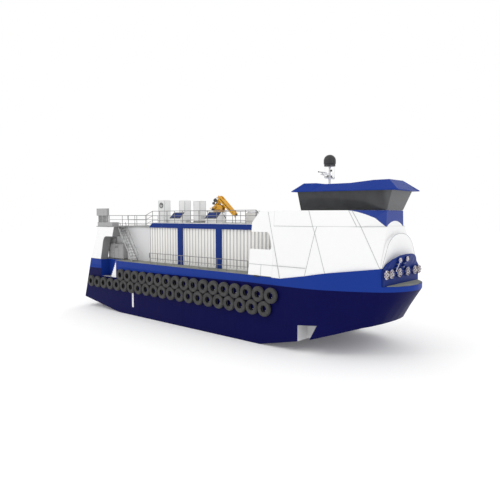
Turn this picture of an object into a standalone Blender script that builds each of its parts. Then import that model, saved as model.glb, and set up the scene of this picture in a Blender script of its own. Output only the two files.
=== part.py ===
"""Aquaculture feed boat: a flat-bottomed steel feed barge with a silo block
amidships, a machinery house aft, a faceted deckhouse and wheelhouse forward,
a stowed knuckle-boom crane and tyre fenders.

Metres. +X points to the bow, +Y to port, +Z up. Every X below is measured
forward from the foot of the transom; the empty "midship" shifts the boat so
that the world origin is under its middle, on the flat bottom.
"""
import bpy
import bmesh
from math import atan2, cos, hypot, pi, radians, sin
from mathutils import Euler, Vector

for old in list(bpy.data.objects):
    bpy.data.objects.remove(old, do_unlink=True)

# ---------------------------------------------------------------- dimensions
GAP = 0.0003                 # air between pieces that rest on each other
LOA = 32.2                   # length over all
HALF_BEAM = 4.35             # moulded half beam
Z_SHEER = 4.20               # top of the dark hull, foot of the blue band
Z_DECK = 4.75                # walking surface of the main deck
DECK_PLATE = 0.03
Z_FOREDECK = 4.53            # top of the blue band in front of the bow hood
X_HOOD = 31.00               # the side bulwarks end here

# bow plan: x, half breadth at the sheer, half breadth and x lower down
BOW_PLAN = (  # x_sheer, half_sheer, x_low, half_low
    (26.00, 4.35, 26.00, 4.35),
    (27.40, 4.20, 27.40, 4.18),
    (28.70, 3.76, 28.52, 3.68),
    (30.00, 3.17, 29.60, 3.02),
    (31.05, 2.50, 30.36, 2.30),
    (31.72, 1.74, 30.74, 1.58),
    (32.07, 0.90, 30.92, 0.80),
    (LOA, 0.00, 30.98, 0.00),
)
Z_KNUCKLE_LOW = 2.36         # the bow face rakes forward above this level
STERN_CUT = ((5.95, 0.0), (0.0, 0.87), (1.575, 5.87), (-3.0, 5.87), (-3.0, -1.0), (5.95, -1.0))
BOW_CUT = ((22.9, 0.0), (26.72, 0.86), (29.75, 1.84), (34.0, 2.88), (34.0, -1.0), (22.9, -1.0))

# recesses with boarding steps in the hull sides, near the stern
RECESS = dict(x0=3.03, x1=5.51, z0=3.15, depth=0.90)
# bay at the forward chine
CHINE_BAY = ((26.12, -0.6), (26.12, 1.78), (27.47, 1.91), (26.16, -0.6))
CHINE_BAY_DEPTH = 1.10

# top edge of the blue band and bulwark: x, z
SHEER_TOP = ((-1.0, 4.72), (21.84, 4.72), (24.64, 4.68), (26.60, 5.00), (27.93, 5.25), (30.93, 5.62), (X_HOOD, 5.63))
BULWARK = 0.12

# tyre fenders
TYRE = dict(outer=0.538, bore=0.235, width=0.27)
FENDER_ROWS = (  # x_first, x_last, count, z
    (6.53, 24.03, 17, 3.500),
    (1.535, 23.47, 21, 2.553),
)
FENDER_BAR = 0.05

# silo block
SILO = dict(x0=8.90, x1=23.80, half=2.95, z1=8.20)
SILO_DECK = dict(x0=8.90, x1=23.86, half=3.05, z0=8.2003, z1=8.24)
FRAME_T = 0.13
FRAME_BEAM = dict(x0=8.90, x0_top=9.34, x1=21.00, z0=7.80, z1=8.1997)
FRAME_PILLARS = ((12.77, 13.33), (17.32, 17.89))

# aft house and the deck on it
AFT = dict(x0=2.30, x1=8.85, half=2.95, wall=0.10, z1=7.80)
UPPER = dict(x0=2.30, x1=8.88, half=3.05, wing_x1=5.40, wing_half=4.35, z0=7.8003, z1=7.87)
AFT_WING = ((1.22, 4.7503), (2.58, 7.80), (5.24, 7.80), (4.94, 6.93), (3.85, 6.92), (3.55, 6.78), (3.40, 6.50), (2.93, 4.7503))
AFT_WING_T = 0.79

STAIR = dict(x_top=5.44, x_bottom=7.54, y0=3.36, y1=4.00, steps=12, thick=0.16)
STEPS = dict(x_top=5.49, x_bottom=4.62, y0=3.52, y1=4.28, steps=8)
LOCKER = dict(x0=3.05, x1=5.34, y0=2.9603, y1=3.42, z1=6.20, x0_tall=2.60, x1_tall=3.60, y1_tall=3.24, z1_tall=6.76)
PLINTH = dict(x0=2.50, x1=4.96, y0=3.60, y1=4.32, z1=8.24)
VENT = dict(x0=2.31, x1=4.09, y0=4.06, y1=4.30, z_low=8.85, x0_low=2.56, x1_low=4.02, z1=9.53)

# railings
RAIL_W = 0.05
TOP_RAIL_Y = 3.00
TOP_RAIL = (  # x of a post, z of the deck under it
    (5.62, 7.87), (6.95, 7.87), (8.28, 7.87)) + tuple((9.30 + k * 1.0083, 8.24) for k in range(13))
TOP_RAILS = (0.20, 0.60, 1.00)   # heights of the rails above the deck
WALK_RAIL_Y = 4.27
WALK_RAIL = tuple((10.55 + k * 1.015, Z_DECK) for k in range(12))
AFT_RAIL_Y = (-2.95, -1.48, 0.0, 1.48, 2.95)

# deckhouse: named corners on the starboard side, as x, half breadth, z
Z_ROOF = 8.14
HOUSE_AFT = 23.90
HOUSE = dict(
    aft_foot=(HOUSE_AFT, 4.35, 4.40), b_foot=(26.60, 4.33, 4.40), b_sill=(26.60, 4.30, 5.00),
    c_sill=(27.93, 4.03, 5.25), c_foot=(27.93, 4.03, 4.60), d_sill=(30.90, 2.60, 5.62), d_foot=(30.90, 2.60, 4.60),
    f_foot=(30.95, 1.30, 4.60), f_sill=(30.95, 1.30, 5.62),
    x_cross=(27.17, 4.03, 7.74), aft_top=(HOUSE_AFT, 4.045, Z_ROOF), b_top=(27.00, 4.00, Z_ROOF),
    b2_top=(27.27, 3.95, Z_ROOF), d_top=(29.72, 2.81, Z_ROOF), f_top=(30.68, 1.24, Z_ROOF))
HOUSE_WALL = 0.12
DOOR = dict(width=0.72, height=1.90, sill=0.10, thick=0.05, clear=0.012)
HOUSE_DOOR_Y = 3.60

# side wings aft of the deckhouse: plate outline as x, z; it leans inboard
WING_LEAN = (4.35 - 4.045) / (Z_ROOF - Z_DECK)
WING = ((21.84, 4.7503), (23.96, 4.7503), (23.96, 8.10), (23.885, 8.10), (23.885, 9.16), (22.62, 9.16), (21.94, 8.37), (21.93, 7.72),
        (23.38, 7.72), (23.50, 7.66), (23.57, 7.52), (23.79, 6.78), (23.77, 6.62), (23.66, 6.54), (21.90, 6.54))
WING_T = 0.10

# parapet on the deckhouse roof: x, half breadth at the foot; x, half breadth at the top
Z_RAIL_TOP = 9.16
PARAPET = (
    (23.90, 4.040, 23.90, 3.945), (27.00, 3.995, 26.56, 3.808), (29.72, 2.800, 29.03, 2.713), (30.60, 1.235, 30.60, 1.150))
PARAPET_T = 0.045

# wheelhouse, outside of the glass: aft and front corners
WH_Z0, WH_Z1 = 9.18, 10.40
WH_LOW = ((25.10, 2.629), (30.59, 1.15))
WH_HIGH = ((25.10, 3.05), (31.04, 1.45))
GLASS_T = 0.03
WH_WALL = 0.08
WH_WINDOWS = 5               # windows along each side
# roof: eave x, eave half breadth, crown x, crown half breadth, crown z
ROOF = ((24.72, 3.22, 25.30, 2.60, 10.98), (26.10, 2.87, 26.10, 2.33, 10.98), (26.60, 2.76, 26.60, 2.20, 10.90), (28.40, 2.30, 28.30, 1.70, 10.93),
        (30.10, 1.92, 29.70, 1.25, 11.08), (31.48, 1.62, 30.62, 0.98, 11.10))
ROOF_EDGE = 0.05

# bow hood: half breadth, x and z of its top edge
HOOD = ((2.52, 31.13, 5.55), (2.20, 31.14, 5.80), (1.79, 31.28, 6.05), (1.11, 31.46, 6.29), (0.45, 31.54, 6.37))
HOOD_T = 0.10
HOOD_X = 31.14
Z_HOOD_FOLD = 5.45
# arched nose: half breadth, z
NOSE = ((2.55, 5.6403), (1.86, 6.86), (1.62, 7.16), (1.22, 7.44), (0.70, 7.63), (0.0, 7.71))
NOSE_X = 31.01
OUTLETS = ((0.59, 5.26), (1.70, 5.26), (2.37, 5.26))
OUTLET_R = 0.25
UPPER_OUTLET_R = 0.16
UPPER_OUTLETS = ((-1.12, 6.09, 31.46, 6.29), (-0.21, 6.13, 31.54, 6.37))   # y, z, and the hood's edge above: x, z

# hatches on the silo deck
HATCH_X = (11.42, 15.80)
HATCH = dict(length=1.28, y_low=2.72, y_high=2.24, y_in=2.11, z_low=8.62, z_high=9.08, lid=0.05)

CABINETS = ((4.81, 5.72, 7.87, 10.39), (8.02, 8.80, 7.87, 10.31), (10.08, 10.92, 8.24, 10.22))   # x0, x1, foot, top
CABINET_Y = (1.15, 1.90)

# crane, stowed: pivots in the boat's middle plane, x and z
CRANE_X = 14.60
CRANE = dict(slew_z=9.20, main=(14.36, 9.66), knuckle=(14.80, 10.33), tip=(16.50, 8.95))
CRANE_BASE_R = 0.38
BOOM = dict(half_h=0.10, half_w=0.10, cheek_in=0.108, cheek_out=0.185, root=0.20, end=0.13)
EAR = dict(y0=0.066, y1=0.086, r=0.05)
# barrel pin, rod pin, radius of barrel and rod, share of the pin-to-pin length where the barrel ends, where the rod begins inside it
LIFT = dict(a=(14.98, 9.40), b=(14.722, 9.902), barrel=0.060, rod=0.030, share=0.80, start=0.06, eye_a=0.120, eye_b=0.056)
FOLD = dict(a=(14.220, 9.812), b=(14.729, 10.506), barrel=0.050, rod=0.026, share=0.66, start=0.255, eye_a=0.056, eye_b=0.098)

MAST_X = 25.65
RADAR = (25.05, 11.86)

# ------------------------------------------------------------------- helpers
col = bpy.data.collections.new("feed_boat")
cut_col = bpy.data.collections.new("cutters")
bpy.context.scene.collection.children.link(col)
bpy.context.scene.collection.children.link(cut_col)

midship = bpy.data.objects.new("midship", None)
midship.location = (-LOA / 2, 0, 0)
col.objects.link(midship)


def material(name, rgb, rough, metal=0.0):
    m = bpy.data.materials.new(name)
    m.use_nodes = True
    bsdf = m.node_tree.nodes["Principled BSDF"]
    bsdf.inputs["Base Color"].default_value = (*rgb, 1.0)
    bsdf.inputs["Roughness"].default_value = rough
    bsdf.inputs["Metallic"].default_value = metal
    return m


NAVY = material("navy_paint", (0.010, 0.010, 0.072), 0.35)
BLUE = material("blue_paint", (0.018, 0.050, 0.285), 0.35)
WHITE = material("white_paint", (0.83, 0.83, 0.82), 0.40)
GREY = material("grey_paint", (0.42, 0.42, 0.42), 0.50)
DECKPAINT = material("deck_paint", (0.24, 0.24, 0.22), 0.80)
GALV = material("galvanised_rail", (0.50, 0.50, 0.50), 0.45, 0.8)
TYRE_MAT = material("tyre_rubber", (0.055, 0.055, 0.055), 0.85)
SHEET = material("silo_sheet", (0.74, 0.73, 0.71), 0.45)
TINT = material("tinted_glass", (0.060, 0.060, 0.065), 0.08)
YELLOW = material("crane_paint", (0.80, 0.40, 0.03), 0.40)
STEEL = material("cylinder_rod", (0.70, 0.70, 0.72), 0.15, 1.0)
DARK = material("dark_fitting", (0.035, 0.035, 0.038), 0.55)
PIPE = material("outlet_pipe", (0.60, 0.55, 0.54), 0.45)


def place(obj, mat=None, cutter=False, parent=None):
    """Put a new object in its collection, under the midship empty."""
    for c in list(obj.users_collection):
        c.objects.unlink(obj)
    (cut_col if cutter else col).objects.link(obj)
    obj.parent = parent or midship
    if mat:
        obj.data.materials.clear()
        obj.data.materials.append(mat)
    if cutter:
        obj.hide_render = True
        obj.display_type = "WIRE"
    return obj


def from_bmesh(name, bm, mat=None, cutter=False, smooth=None, parent=None):
    bmesh.ops.recalc_face_normals(bm, faces=bm.faces)
    me = bpy.data.meshes.new(name)
    bm.to_mesh(me)
    bm.free()
    if smooth is not None:
        me.shade_smooth()
        me.set_sharp_from_angle(angle=radians(smooth))
    return place(bpy.data.objects.new(name, me), mat, cutter, parent)


def box(name, lo, hi, mat=None, cutter=False, parent=None):
    bm = bmesh.new()
    bmesh.ops.create_cube(bm, size=1.0)
    size = [h - l for l, h in zip(lo, hi)]
    mid = [(h + l) / 2 for l, h in zip(lo, hi)]
    bmesh.ops.scale(bm, vec=size, verts=bm.verts)
    bmesh.ops.translate(bm, vec=mid, verts=bm.verts)
    return from_bmesh(name, bm, mat, cutter, parent=parent)


AXES = {"X": Euler((0, pi / 2, 0)), "Y": Euler((pi / 2, 0, 0)), "Z": Euler((0, 0, 0))}


def rod(name, a, b, r, mat=None, cutter=False, sides=16, r2=None, parent=None):
    """A cylinder or cone from point a to point b."""
    a, b = Vector(a), Vector(b)
    bm = bmesh.new()
    bmesh.ops.create_cone(bm, cap_ends=True, segments=sides, radius1=r, radius2=r if r2 is None else r2,
                          depth=(b - a).length)
    turn = (b - a).to_track_quat("Z", "Y").to_matrix()
    bmesh.ops.rotate(bm, matrix=turn, verts=bm.verts)
    bmesh.ops.translate(bm, vec=(a + b) / 2, verts=bm.verts)
    return from_bmesh(name, bm, mat, cutter, smooth=40, parent=parent)


# a 2D outline (u, v) and its depth w, laid in one of three planes
PLANES = {"XZ": Euler((pi / 2, 0, 0)), "XY": Euler((0, 0, 0)), "YZ": Euler((pi / 2, 0, pi / 2))}


def outline(name, loops, plane, w0, w1, mat=None, cutter=False, parent=None):
    """A flat outline with holes, given thickness from w0 to w1 along the plane's normal (+Y, +Z or +X)."""
    cu = bpy.data.curves.new(name, "CURVE")
    cu.dimensions = "2D"
    cu.fill_mode = "BOTH"
    cu.extrude = abs(w1 - w0) / 2
    for pts in loops:
        sp = cu.splines.new("POLY")
        sp.points.add(len(pts) - 1)
        for p, (u, v) in zip(sp.points, pts):
            p.co = (u, v, 0, 1)
        sp.use_cyclic_u = True
    obj = bpy.data.objects.new(name + "_flat", cu)
    obj.rotation_euler = PLANES[plane]
    mid = (w0 + w1) / 2
    obj.location = {"XZ": (0, mid, 0), "XY": (0, 0, mid), "YZ": (mid, 0, 0)}[plane]
    cut_col.objects.link(obj)
    bpy.context.view_layer.update()
    me = bpy.data.meshes.new_from_object(obj.evaluated_get(bpy.context.evaluated_depsgraph_get()))
    me.transform(obj.matrix_world)
    bpy.data.objects.remove(obj, do_unlink=True)
    bm = bmesh.new()
    bm.from_mesh(me)
    bmesh.ops.remove_doubles(bm, verts=bm.verts, dist=0.00005)
    return from_bmesh(name, bm, mat, cutter, parent=parent)


def loft(name, sections, mat=None, cutter=False, parent=None, closed=False):
    """Skin between sections of equal point count; each section is a closed ring."""
    bm = bmesh.new()
    rings = [[bm.verts.new(p) for p in s] for s in sections]
    n = len(rings[0])
    pairs = list(zip(rings, rings[1:])) + ([(rings[-1], rings[0])] if closed else [])
    for a, b in pairs:
        for i in range(n):
            j = (i + 1) % n
            bm.faces.new((a[i], a[j], b[j], b[i]))
    if not closed:
        bm.faces.new(list(reversed(rings[0])))
        bm.faces.new(rings[-1])
    return from_bmesh(name, bm, mat, cutter, parent=parent)


def hull_of(name, points, mat=None, cutter=False):
    """The convex, flat-sided body around a set of corners."""
    bm = bmesh.new()
    for p in points:
        bm.verts.new(p)
    out = bmesh.ops.convex_hull(bm, input=bm.verts, use_existing_faces=False)
    loose = list({v for v in out["geom_interior"] if isinstance(v, bmesh.types.BMVert)})
    if loose:
        bmesh.ops.delete(bm, geom=loose, context="VERTS")
    bmesh.ops.dissolve_limit(bm, angle_limit=radians(0.2), verts=bm.verts, edges=bm.edges)
    return from_bmesh(name, bm, mat, cutter)


def boolean(obj, other, op="DIFFERENCE"):
    m = obj.modifiers.new(op.lower() + "_" + other.name, "BOOLEAN")
    m.operation = op
    m.object = other
    m.solver = "EXACT"
    return obj


def both(points):
    """Corners given for one side as x, half breadth, z: the same corners on both sides."""
    return [(x, s * y, z) for x, y, z in points for s in (-1, 1)]


SIDES = (("stbd", -1), ("port", 1))


def slab(name, x0, x1, y0, y1, z0, z1, side, mat=None, cutter=False, parent=None):
    """A box on one side of the boat; y0 and y1 are distances from the middle plane."""
    ys = sorted((side * y0, side * y1))
    return box(name, (x0, ys[0], z0), (x1, ys[1], z1), mat, cutter, parent)


def plan_ring(rows, z):
    """Closed plan outline from rows of x, half breadth that run aft to forward; the last row is on the middle."""
    stbd = [(x, -y, z) for x, y in rows]
    port = [(x, y, z) for x, y in reversed(rows[:-1] if rows[-1][1] == 0 else rows)]
    return stbd + port


# ---------------------------------------------------------------------- hull
side_rows_sheer = [(0.0, HALF_BEAM)] + [(x, y) for x, y, _, _ in BOW_PLAN]
side_rows_low = [(0.0, HALF_BEAM)] + [(x, y) for _, _, x, y in BOW_PLAN]
hull = loft("hull", [plan_ring(side_rows_low, 0.0), plan_ring(side_rows_low, Z_KNUCKLE_LOW),
                     plan_ring(side_rows_sheer, Z_SHEER)], NAVY)
stern_cut = outline("stern_cut", [STERN_CUT], "XZ", -6, 6, cutter=True)
bow_cut = outline("bow_cut", [BOW_CUT], "XZ", -6, 6, cutter=True)
boolean(hull, stern_cut)
boolean(hull, bow_cut)

upper_hull = loft("upper_hull", [plan_ring(side_rows_sheer, Z_SHEER + GAP), plan_ring(side_rows_sheer, 5.80)], BLUE)
sheer_cut = outline("sheer_cut", [list(SHEER_TOP) + [(X_HOOD, Z_FOREDECK), (34.0, Z_FOREDECK), (34.0, 7.0), (-1.0, 7.0)]],
                    "XZ", -6, 6, cutter=True)
inner_rows = [(24.90, HALF_BEAM - BULWARK), (26.00, HALF_BEAM - BULWARK), (27.35, 4.08), (28.62, 3.65),
              (29.90, 3.07), (30.90, 2.47), (31.10, 2.34)]
room_cut = loft("room_cut", [plan_ring(inner_rows, 4.72), plan_ring(inner_rows, 7.0)], cutter=True)
boolean(upper_hull, stern_cut)
boolean(upper_hull, sheer_cut)
boolean(upper_hull, room_cut)


main_deck = box("main_deck", (1.215, -HALF_BEAM, Z_DECK - DECK_PLATE + GAP), (HOUSE_AFT - 0.01, HALF_BEAM, Z_DECK), DECKPAINT)
fore_rows = [(31.20, 2.26), (31.66, 1.70), (31.99, 0.90), (LOA - 0.08, 0.0)]
foredeck = loft("foredeck", [plan_ring(fore_rows, Z_FOREDECK + GAP), plan_ring(fore_rows, Z_FOREDECK + 0.04)], DECKPAINT)

for tag, s in SIDES:
    r = RECESS
    cut = slab("recess_cut_" + tag, r["x0"], r["x1"], HALF_BEAM - r["depth"], 6.0, r["z0"], 5.2, s, cutter=True)
    for piece in (hull, upper_hull, main_deck):
        boolean(piece, cut)
    bay = outline("chine_bay_" + tag, [CHINE_BAY], "XZ", s * (HALF_BEAM - CHINE_BAY_DEPTH), s * 6.0, cutter=True)
    boolean(hull, bay)

    # boarding steps stand on the recess floor against its forward end
    t = STEPS
    rise = (Z_DECK - 0.05 - r["z0"]) / t["steps"]
    run = (t["x_top"] - t["x_bottom"]) / t["steps"]
    pts = [(t["x_top"], r["z0"] + 0.0003)]
    for k in range(t["steps"]):
        x_left = t["x_top"] - run * (t["steps"] - k) + run
        pts_x0 = t["x_bottom"] + run * k
        pts.insert(0, (pts_x0, r["z0"] + (0.0003 if k == 0 else rise * k)))
        pts.insert(0, (pts_x0, r["z0"] + rise * (k + 1)))
    pts.insert(0, (t["x_top"], r["z0"] + rise * t["steps"]))
    outline("boarding_steps_" + tag, [pts], "XZ", s * t["y0"], s * t["y1"], WHITE)

# ------------------------------------------------------------- tyre fenders


def ring_bodies(bm, centres, outer, bore, y0, y1, sides=10):
    """Plain rings about Y: outside, bore and two flat faces."""
    for cx, cz in centres:
        loops = []
        for radius, y in ((outer, y0), (outer, y1), (bore, y1), (bore, y0)):
            loops.append([bm.verts.new((cx + radius * cos(2 * pi * k / sides), y, cz + radius * sin(2 * pi * k / sides)))
                          for k in range(sides)])
        for a, b in zip(loops, loops[1:] + loops[:1]):
            for k in range(sides):
                j = (k + 1) % sides
                bm.faces.new((a[k], a[j], b[j], b[k]))


centres = []
for x0, x1, n, z in FENDER_ROWS:
    centres += [(x0 + (x1 - x0) * k / (n - 1), z) for k in range(n)]
BAR_FRAME = [[(1.30, 2.49), (23.75, 2.49), (23.75, 3.56), (6.30, 3.56), (6.30, 2.61), (1.30, 2.61)]] + [
    [(a, 2.61), (b, 2.61), (b, 3.44), (a, 3.44)] for a, b in ((6.42, 12.04), (12.16, 17.78), (17.90, 23.63))]
for tag, s in SIDES:
    bm = bmesh.new()
    y_in = HALF_BEAM + FENDER_BAR - 0.012
    ring_bodies(bm, centres, TYRE["outer"], TYRE["bore"], s * y_in, s * (y_in + TYRE["width"]))
    tyres = from_bmesh("tyre_fenders_" + tag, bm, TYRE_MAT)
    bars = outline("fender_bars_" + tag, BAR_FRAME, "XZ", s * (HALF_BEAM + GAP), s * (HALF_BEAM + FENDER_BAR), cutter=True)
    boolean(tyres, bars, "UNION")

# ----------------------------------------------------------------- silo block
silo_block = box("silo_block", (SILO["x0"], -SILO["half"], Z_DECK + GAP), (SILO["x1"], SILO["half"], SILO["z1"]), SHEET)
d = SILO_DECK
silo_top_deck = box("silo_top_deck", (d["x0"], -d["half"], d["z0"]), (d["x1"], d["half"], d["z1"]), DECKPAINT)
HATCH_SLOPE = atan2(HATCH["z_high"] - HATCH["z_low"], HATCH["y_low"] - HATCH["y_high"])

for tag, s in SIDES:
    f = FRAME_BEAM
    pts = [(f["x0"], f["z0"]), (f["x0"], f["z1"] - 0.36), (f["x0_top"], f["z1"]), (f["x1"], f["z1"]), (f["x1"], f["z0"])]
    for a, b in reversed(FRAME_PILLARS):
        pts += [(b, f["z0"]), (b, Z_DECK + GAP), (a, Z_DECK + GAP), (a, f["z0"])]
    outline("silo_frame_" + tag, [pts], "XZ", s * (SILO["half"] + GAP), s * (SILO["half"] + FRAME_T), BLUE)

    h = HATCH
    for n, hx in enumerate(HATCH_X, 1):
        lid_n = (sin(HATCH_SLOPE), cos(HATCH_SLOPE))       # outward normal of the slope, as outboard y and z
        block = outline(f"coaming_{tag}_{n}", [[(s * h["y_low"], d["z0"] + 0.01), (s * h["y_low"], h["z_low"]),
                                               (s * h["y_high"], h["z_high"]), (s * h["y_in"], h["z_high"]),
                                               (s * h["y_in"], d["z0"] + 0.01)]],
                        "YZ", hx, hx + h["length"], cutter=True)
        boolean(silo_top_deck, block, "UNION")
        boolean(silo_top_deck, slab(f"well_{tag}_{n}", hx + 0.06, hx + h["length"] - 0.06, h["y_high"] + 0.05, h["y_low"] - 0.06,
                                    d["z1"] + 0.02, 9.4, s, cutter=True))
        # the lid, hinged along its upper edge
        slope_len = hypot(h["y_low"] - h["y_high"], h["z_high"] - h["z_low"])
        pivot = bpy.data.objects.new(f"hatch_hinge_{tag}_{n}", None)
        pivot.location = (hx + h["length"] / 2, s * (h["y_high"] + 0.035 * lid_n[0] + 0.01), h["z_high"] + 0.035 * lid_n[1])
        pivot.rotation_euler = (-s * HATCH_SLOPE, 0, 0)
        pivot.parent = midship
        col.objects.link(pivot)
        lo_y, hi_y = sorted((s * 0.0, s * (slope_len + 0.02)))
        box(f"hatch_lid_{tag}_{n}", (-h["length"] / 2 - 0.02, lo_y, -0.022), (h["length"] / 2 + 0.02, hi_y, 0.028), BLUE,
            parent=pivot)

# ------------------------------------------------------------------ aft house
a = AFT
aft_house = box("aft_house", (a["x0"], -a["half"], Z_DECK + GAP), (a["x1"], a["half"], a["z1"]), WHITE)
boolean(aft_house, box("aft_room", (a["x0"] + a["wall"], -a["half"] + a["wall"], Z_DECK - 0.5),
                       (a["x1"] - a["wall"], a["half"] - a["wall"], a["z1"] - a["wall"]), cutter=True))
boolean(aft_house, box("aft_doorway", (a["x0"] - 0.5, -0.42, Z_DECK - 0.5), (a["x0"] + a["wall"] + 0.1, 0.42, Z_DECK + 2.05),
                       cutter=True))

u = UPPER
deck_pts = [(u["x0"], -u["wing_half"]), (u["wing_x1"], -u["wing_half"]), (u["wing_x1"], -u["half"]), (u["x1"], -u["half"]),
            (u["x1"], u["half"]), (u["wing_x1"], u["half"]), (u["wing_x1"], u["wing_half"]), (u["x0"], u["wing_half"])]
aft_upper_deck = outline("aft_upper_deck", [deck_pts], "XY", u["z0"], u["z1"], DECKPAINT)

for tag, s in SIDES:
    outline("aft_wing_" + tag, [AFT_WING], "XZ", s * (HALF_BEAM - 0.01), s * (HALF_BEAM - 0.01 - AFT_WING_T), WHITE)
    # steep stair from the main deck to the upper deck: saw-tooth plate
    t = STAIR
    rise = (u["z1"] - Z_DECK) / t["steps"]
    run = (t["x_bottom"] - t["x_top"]) / t["steps"]
    top = [(t["x_top"], u["z1"])]
    for k in range(1, t["steps"]):
        top += [(t["x_top"] + run * k, u["z1"] - rise * (k - 1)), (t["x_top"] + run * k, u["z1"] - rise * k)]
    top += [(t["x_bottom"], Z_DECK + rise), (t["x_bottom"], Z_DECK + GAP), (t["x_bottom"] - 0.20, Z_DECK + GAP),
            (t["x_top"], u["z1"] - rise - 0.10)]
    outline("deck_stair_" + tag, [top], "XZ", s * t["y0"], s * t["y1"], GREY)
    k = LOCKER
    locker = slab("side_locker_" + tag, k["x0"], k["x1"], k["y0"], k["y1"], Z_DECK + GAP, k["z1"], s, GREY)
    boolean(locker, slab("locker_trunk_" + tag, k["x0_tall"], k["x1_tall"], k["y0"], k["y1_tall"], Z_DECK + GAP, k["z1_tall"], s,
                         cutter=True), "UNION")

p, v = PLINTH, VENT
vent_box = slab("vent_box", p["x0"], p["x1"], p["y0"], p["y1"], u["z1"] + GAP, p["z1"], -1, GREY)
boolean(vent_box, slab("vent_lower", v["x0_low"], v["x1_low"], v["y0"] + 0.02, v["y1"] - 0.02, p["z1"] - 0.05, v["z_low"] + 0.05, -1,
                       cutter=True), "UNION")
boolean(vent_box, slab("vent_upper", v["x0"], v["x1"], v["y0"], v["y1"], v["z_low"], v["z1"], -1, cutter=True), "UNION")

# ------------------------------------------------------------------- railings


def fence(name, posts, rails, plane, w, mat=GALV, width=RAIL_W, clear=GAP):
    """A flat-bar railing: posts as (u, foot z), rails as heights above the deck, highest last."""
    hw = width / 2
    top, low = rails[-1] + hw, rails[0] - hw
    ring = [(posts[0][0] - hw, posts[0][1] + clear), (posts[0][0] - hw, posts[0][1] + top)]
    ring += [(pu, pz + top) for pu, pz in posts[1:-1]]
    ring += [(posts[-1][0] + hw, posts[-1][1] + top), (posts[-1][0] + hw, posts[-1][1] + clear)]
    holes = []
    for (ua, za), (ub, zb) in reversed(list(zip(posts, posts[1:]))):
        ring += [(ub - hw, zb + clear), (ub - hw, zb + low), (ua + hw, za + low), (ua + hw, za + clear)]
        for ra, rb in zip(rails, rails[1:]):
            holes.append([(ua + hw, za + ra + hw), (ub - hw, zb + ra + hw), (ub - hw, zb + rb - hw), (ua + hw, za + rb - hw)])
    return outline(name, [ring] + holes, plane, w - hw, w + hw, mat)


for tag, s in SIDES:
    fence("top_rail_" + tag, TOP_RAIL, TOP_RAILS, "XZ", s * TOP_RAIL_Y)
    fence("walkway_rail_" + tag, WALK_RAIL, (0.48, 0.92), "XZ", s * WALK_RAIL_Y)
fence("aft_rail", [(y, u["z1"]) for y in AFT_RAIL_Y], TOP_RAILS, "YZ", u["x0"] + 0.06)

# ------------------------------------------------------------------ deckhouse
corners = list(HOUSE.values())
deckhouse = hull_of("deckhouse", both(corners), WHITE)
w = HOUSE_WALL
INNER = [(max(x - (w if x > 30 else 0), HOUSE_AFT + w) if x > HOUSE_AFT else HOUSE_AFT + w,
          y - w * (1.25 if x > 27 else 1.05), z - (w if z > 8 else 0)) for x, y, z in corners]
INNER = [(x, y, 4.2 if z < 4.7 else z) for x, y, z in INNER]
house_room = hull_of("house_room", both(INNER), cutter=True)
boolean(deckhouse, house_room)
foot = [(20.0, 4.7203), (21.84, 4.7203), (24.64, 4.6803), (26.60, 5.0003), (27.93, 5.2503), (30.93, 5.6203), (31.2, 5.65),
        (31.2, 4.0), (20.0, 4.0)]
boolean(deckhouse, outline("house_foot_cut", [foot], "XZ", -6, 6, cutter=True))
# seen from the sides, the foot of the aft wall stands on the deck edge plate
for tag, s in SIDES:
    D = DOOR
    ys = sorted((s * (HOUSE_DOOR_Y - D["width"] / 2), s * (HOUSE_DOOR_Y + D["width"] / 2)))
    boolean(deckhouse, box("house_doorway_" + tag, (HOUSE_AFT - 0.4, ys[0], Z_DECK + D["sill"]),
                           (HOUSE_AFT + w + 0.15, ys[1], Z_DECK + D["sill"] + D["height"]), cutter=True))

for tag, s in SIDES:
    wing = outline("house_wing_" + tag, [WING], "XZ", -WING_T / 2, WING_T / 2, cutter=True)
    for vert in wing.data.vertices:
        vert.co.y += s * (HALF_BEAM - WING_T / 2 - 0.003 - WING_LEAN * (vert.co.z - Z_DECK))
    boolean(deckhouse, wing, "UNION")



def parapet_ring(k, inset):
    """Corners of the parapet a share k of the way up, moved inboard."""
    return [(xf + (xh - xf) * k - (inset if xf > 30 else 0) - (9 * inset if inset and xf < 24 else 0),
             yf + (yh - yf) * k - inset, Z_ROOF + GAP + (Z_RAIL_TOP - Z_ROOF - GAP) * k) for xf, yf, xh, yh in PARAPET]


parapet = hull_of("parapet", both(parapet_ring(0, 0) + parapet_ring(1, 0)), WHITE)
boolean(parapet, hull_of("parapet_inside", both(parapet_ring(-0.15, PARAPET_T) + parapet_ring(1.15, PARAPET_T)), cutter=True))

# nose: an arched box standing in front of the deckhouse
nose_pts = [(-y, z) for y, z in NOSE] + [(y, z) for y, z in reversed(NOSE[:-1])]
nose_panel = outline("nose_panel", [nose_pts], "YZ", 30.60, NOSE_X, WHITE)
shadow = hull_of("nose_back", both([(x + (0.006 if x > 30 else 0.0), y + 0.003, z) for x, y, z in corners]), cutter=True)
boolean(nose_panel, shadow)

# hood: upright plate that folds forward at its top
hood_half = [((HOOD_X, -y, Z_FOREDECK + GAP), (HOOD_X - 0.02, -y, min(Z_HOOD_FOLD, z - 0.08)), (x, -y, z)) for y, x, z in HOOD]
hood_rows = hood_half + [tuple((p[0], -p[1], p[2]) for p in row) for row in reversed(hood_half)]
hood_sections = []
for foot_p, fold_p, head_p in hood_rows:
    back = Vector((-HOOD_T, 0, 0))
    f_, m_, h_ = Vector(foot_p), Vector(fold_p), Vector(head_p)
    hood_sections.append([f_, m_, h_, h_ + back, m_ + back, f_ + back])
bow_hood = loft("bow_hood", hood_sections, BLUE)

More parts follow.
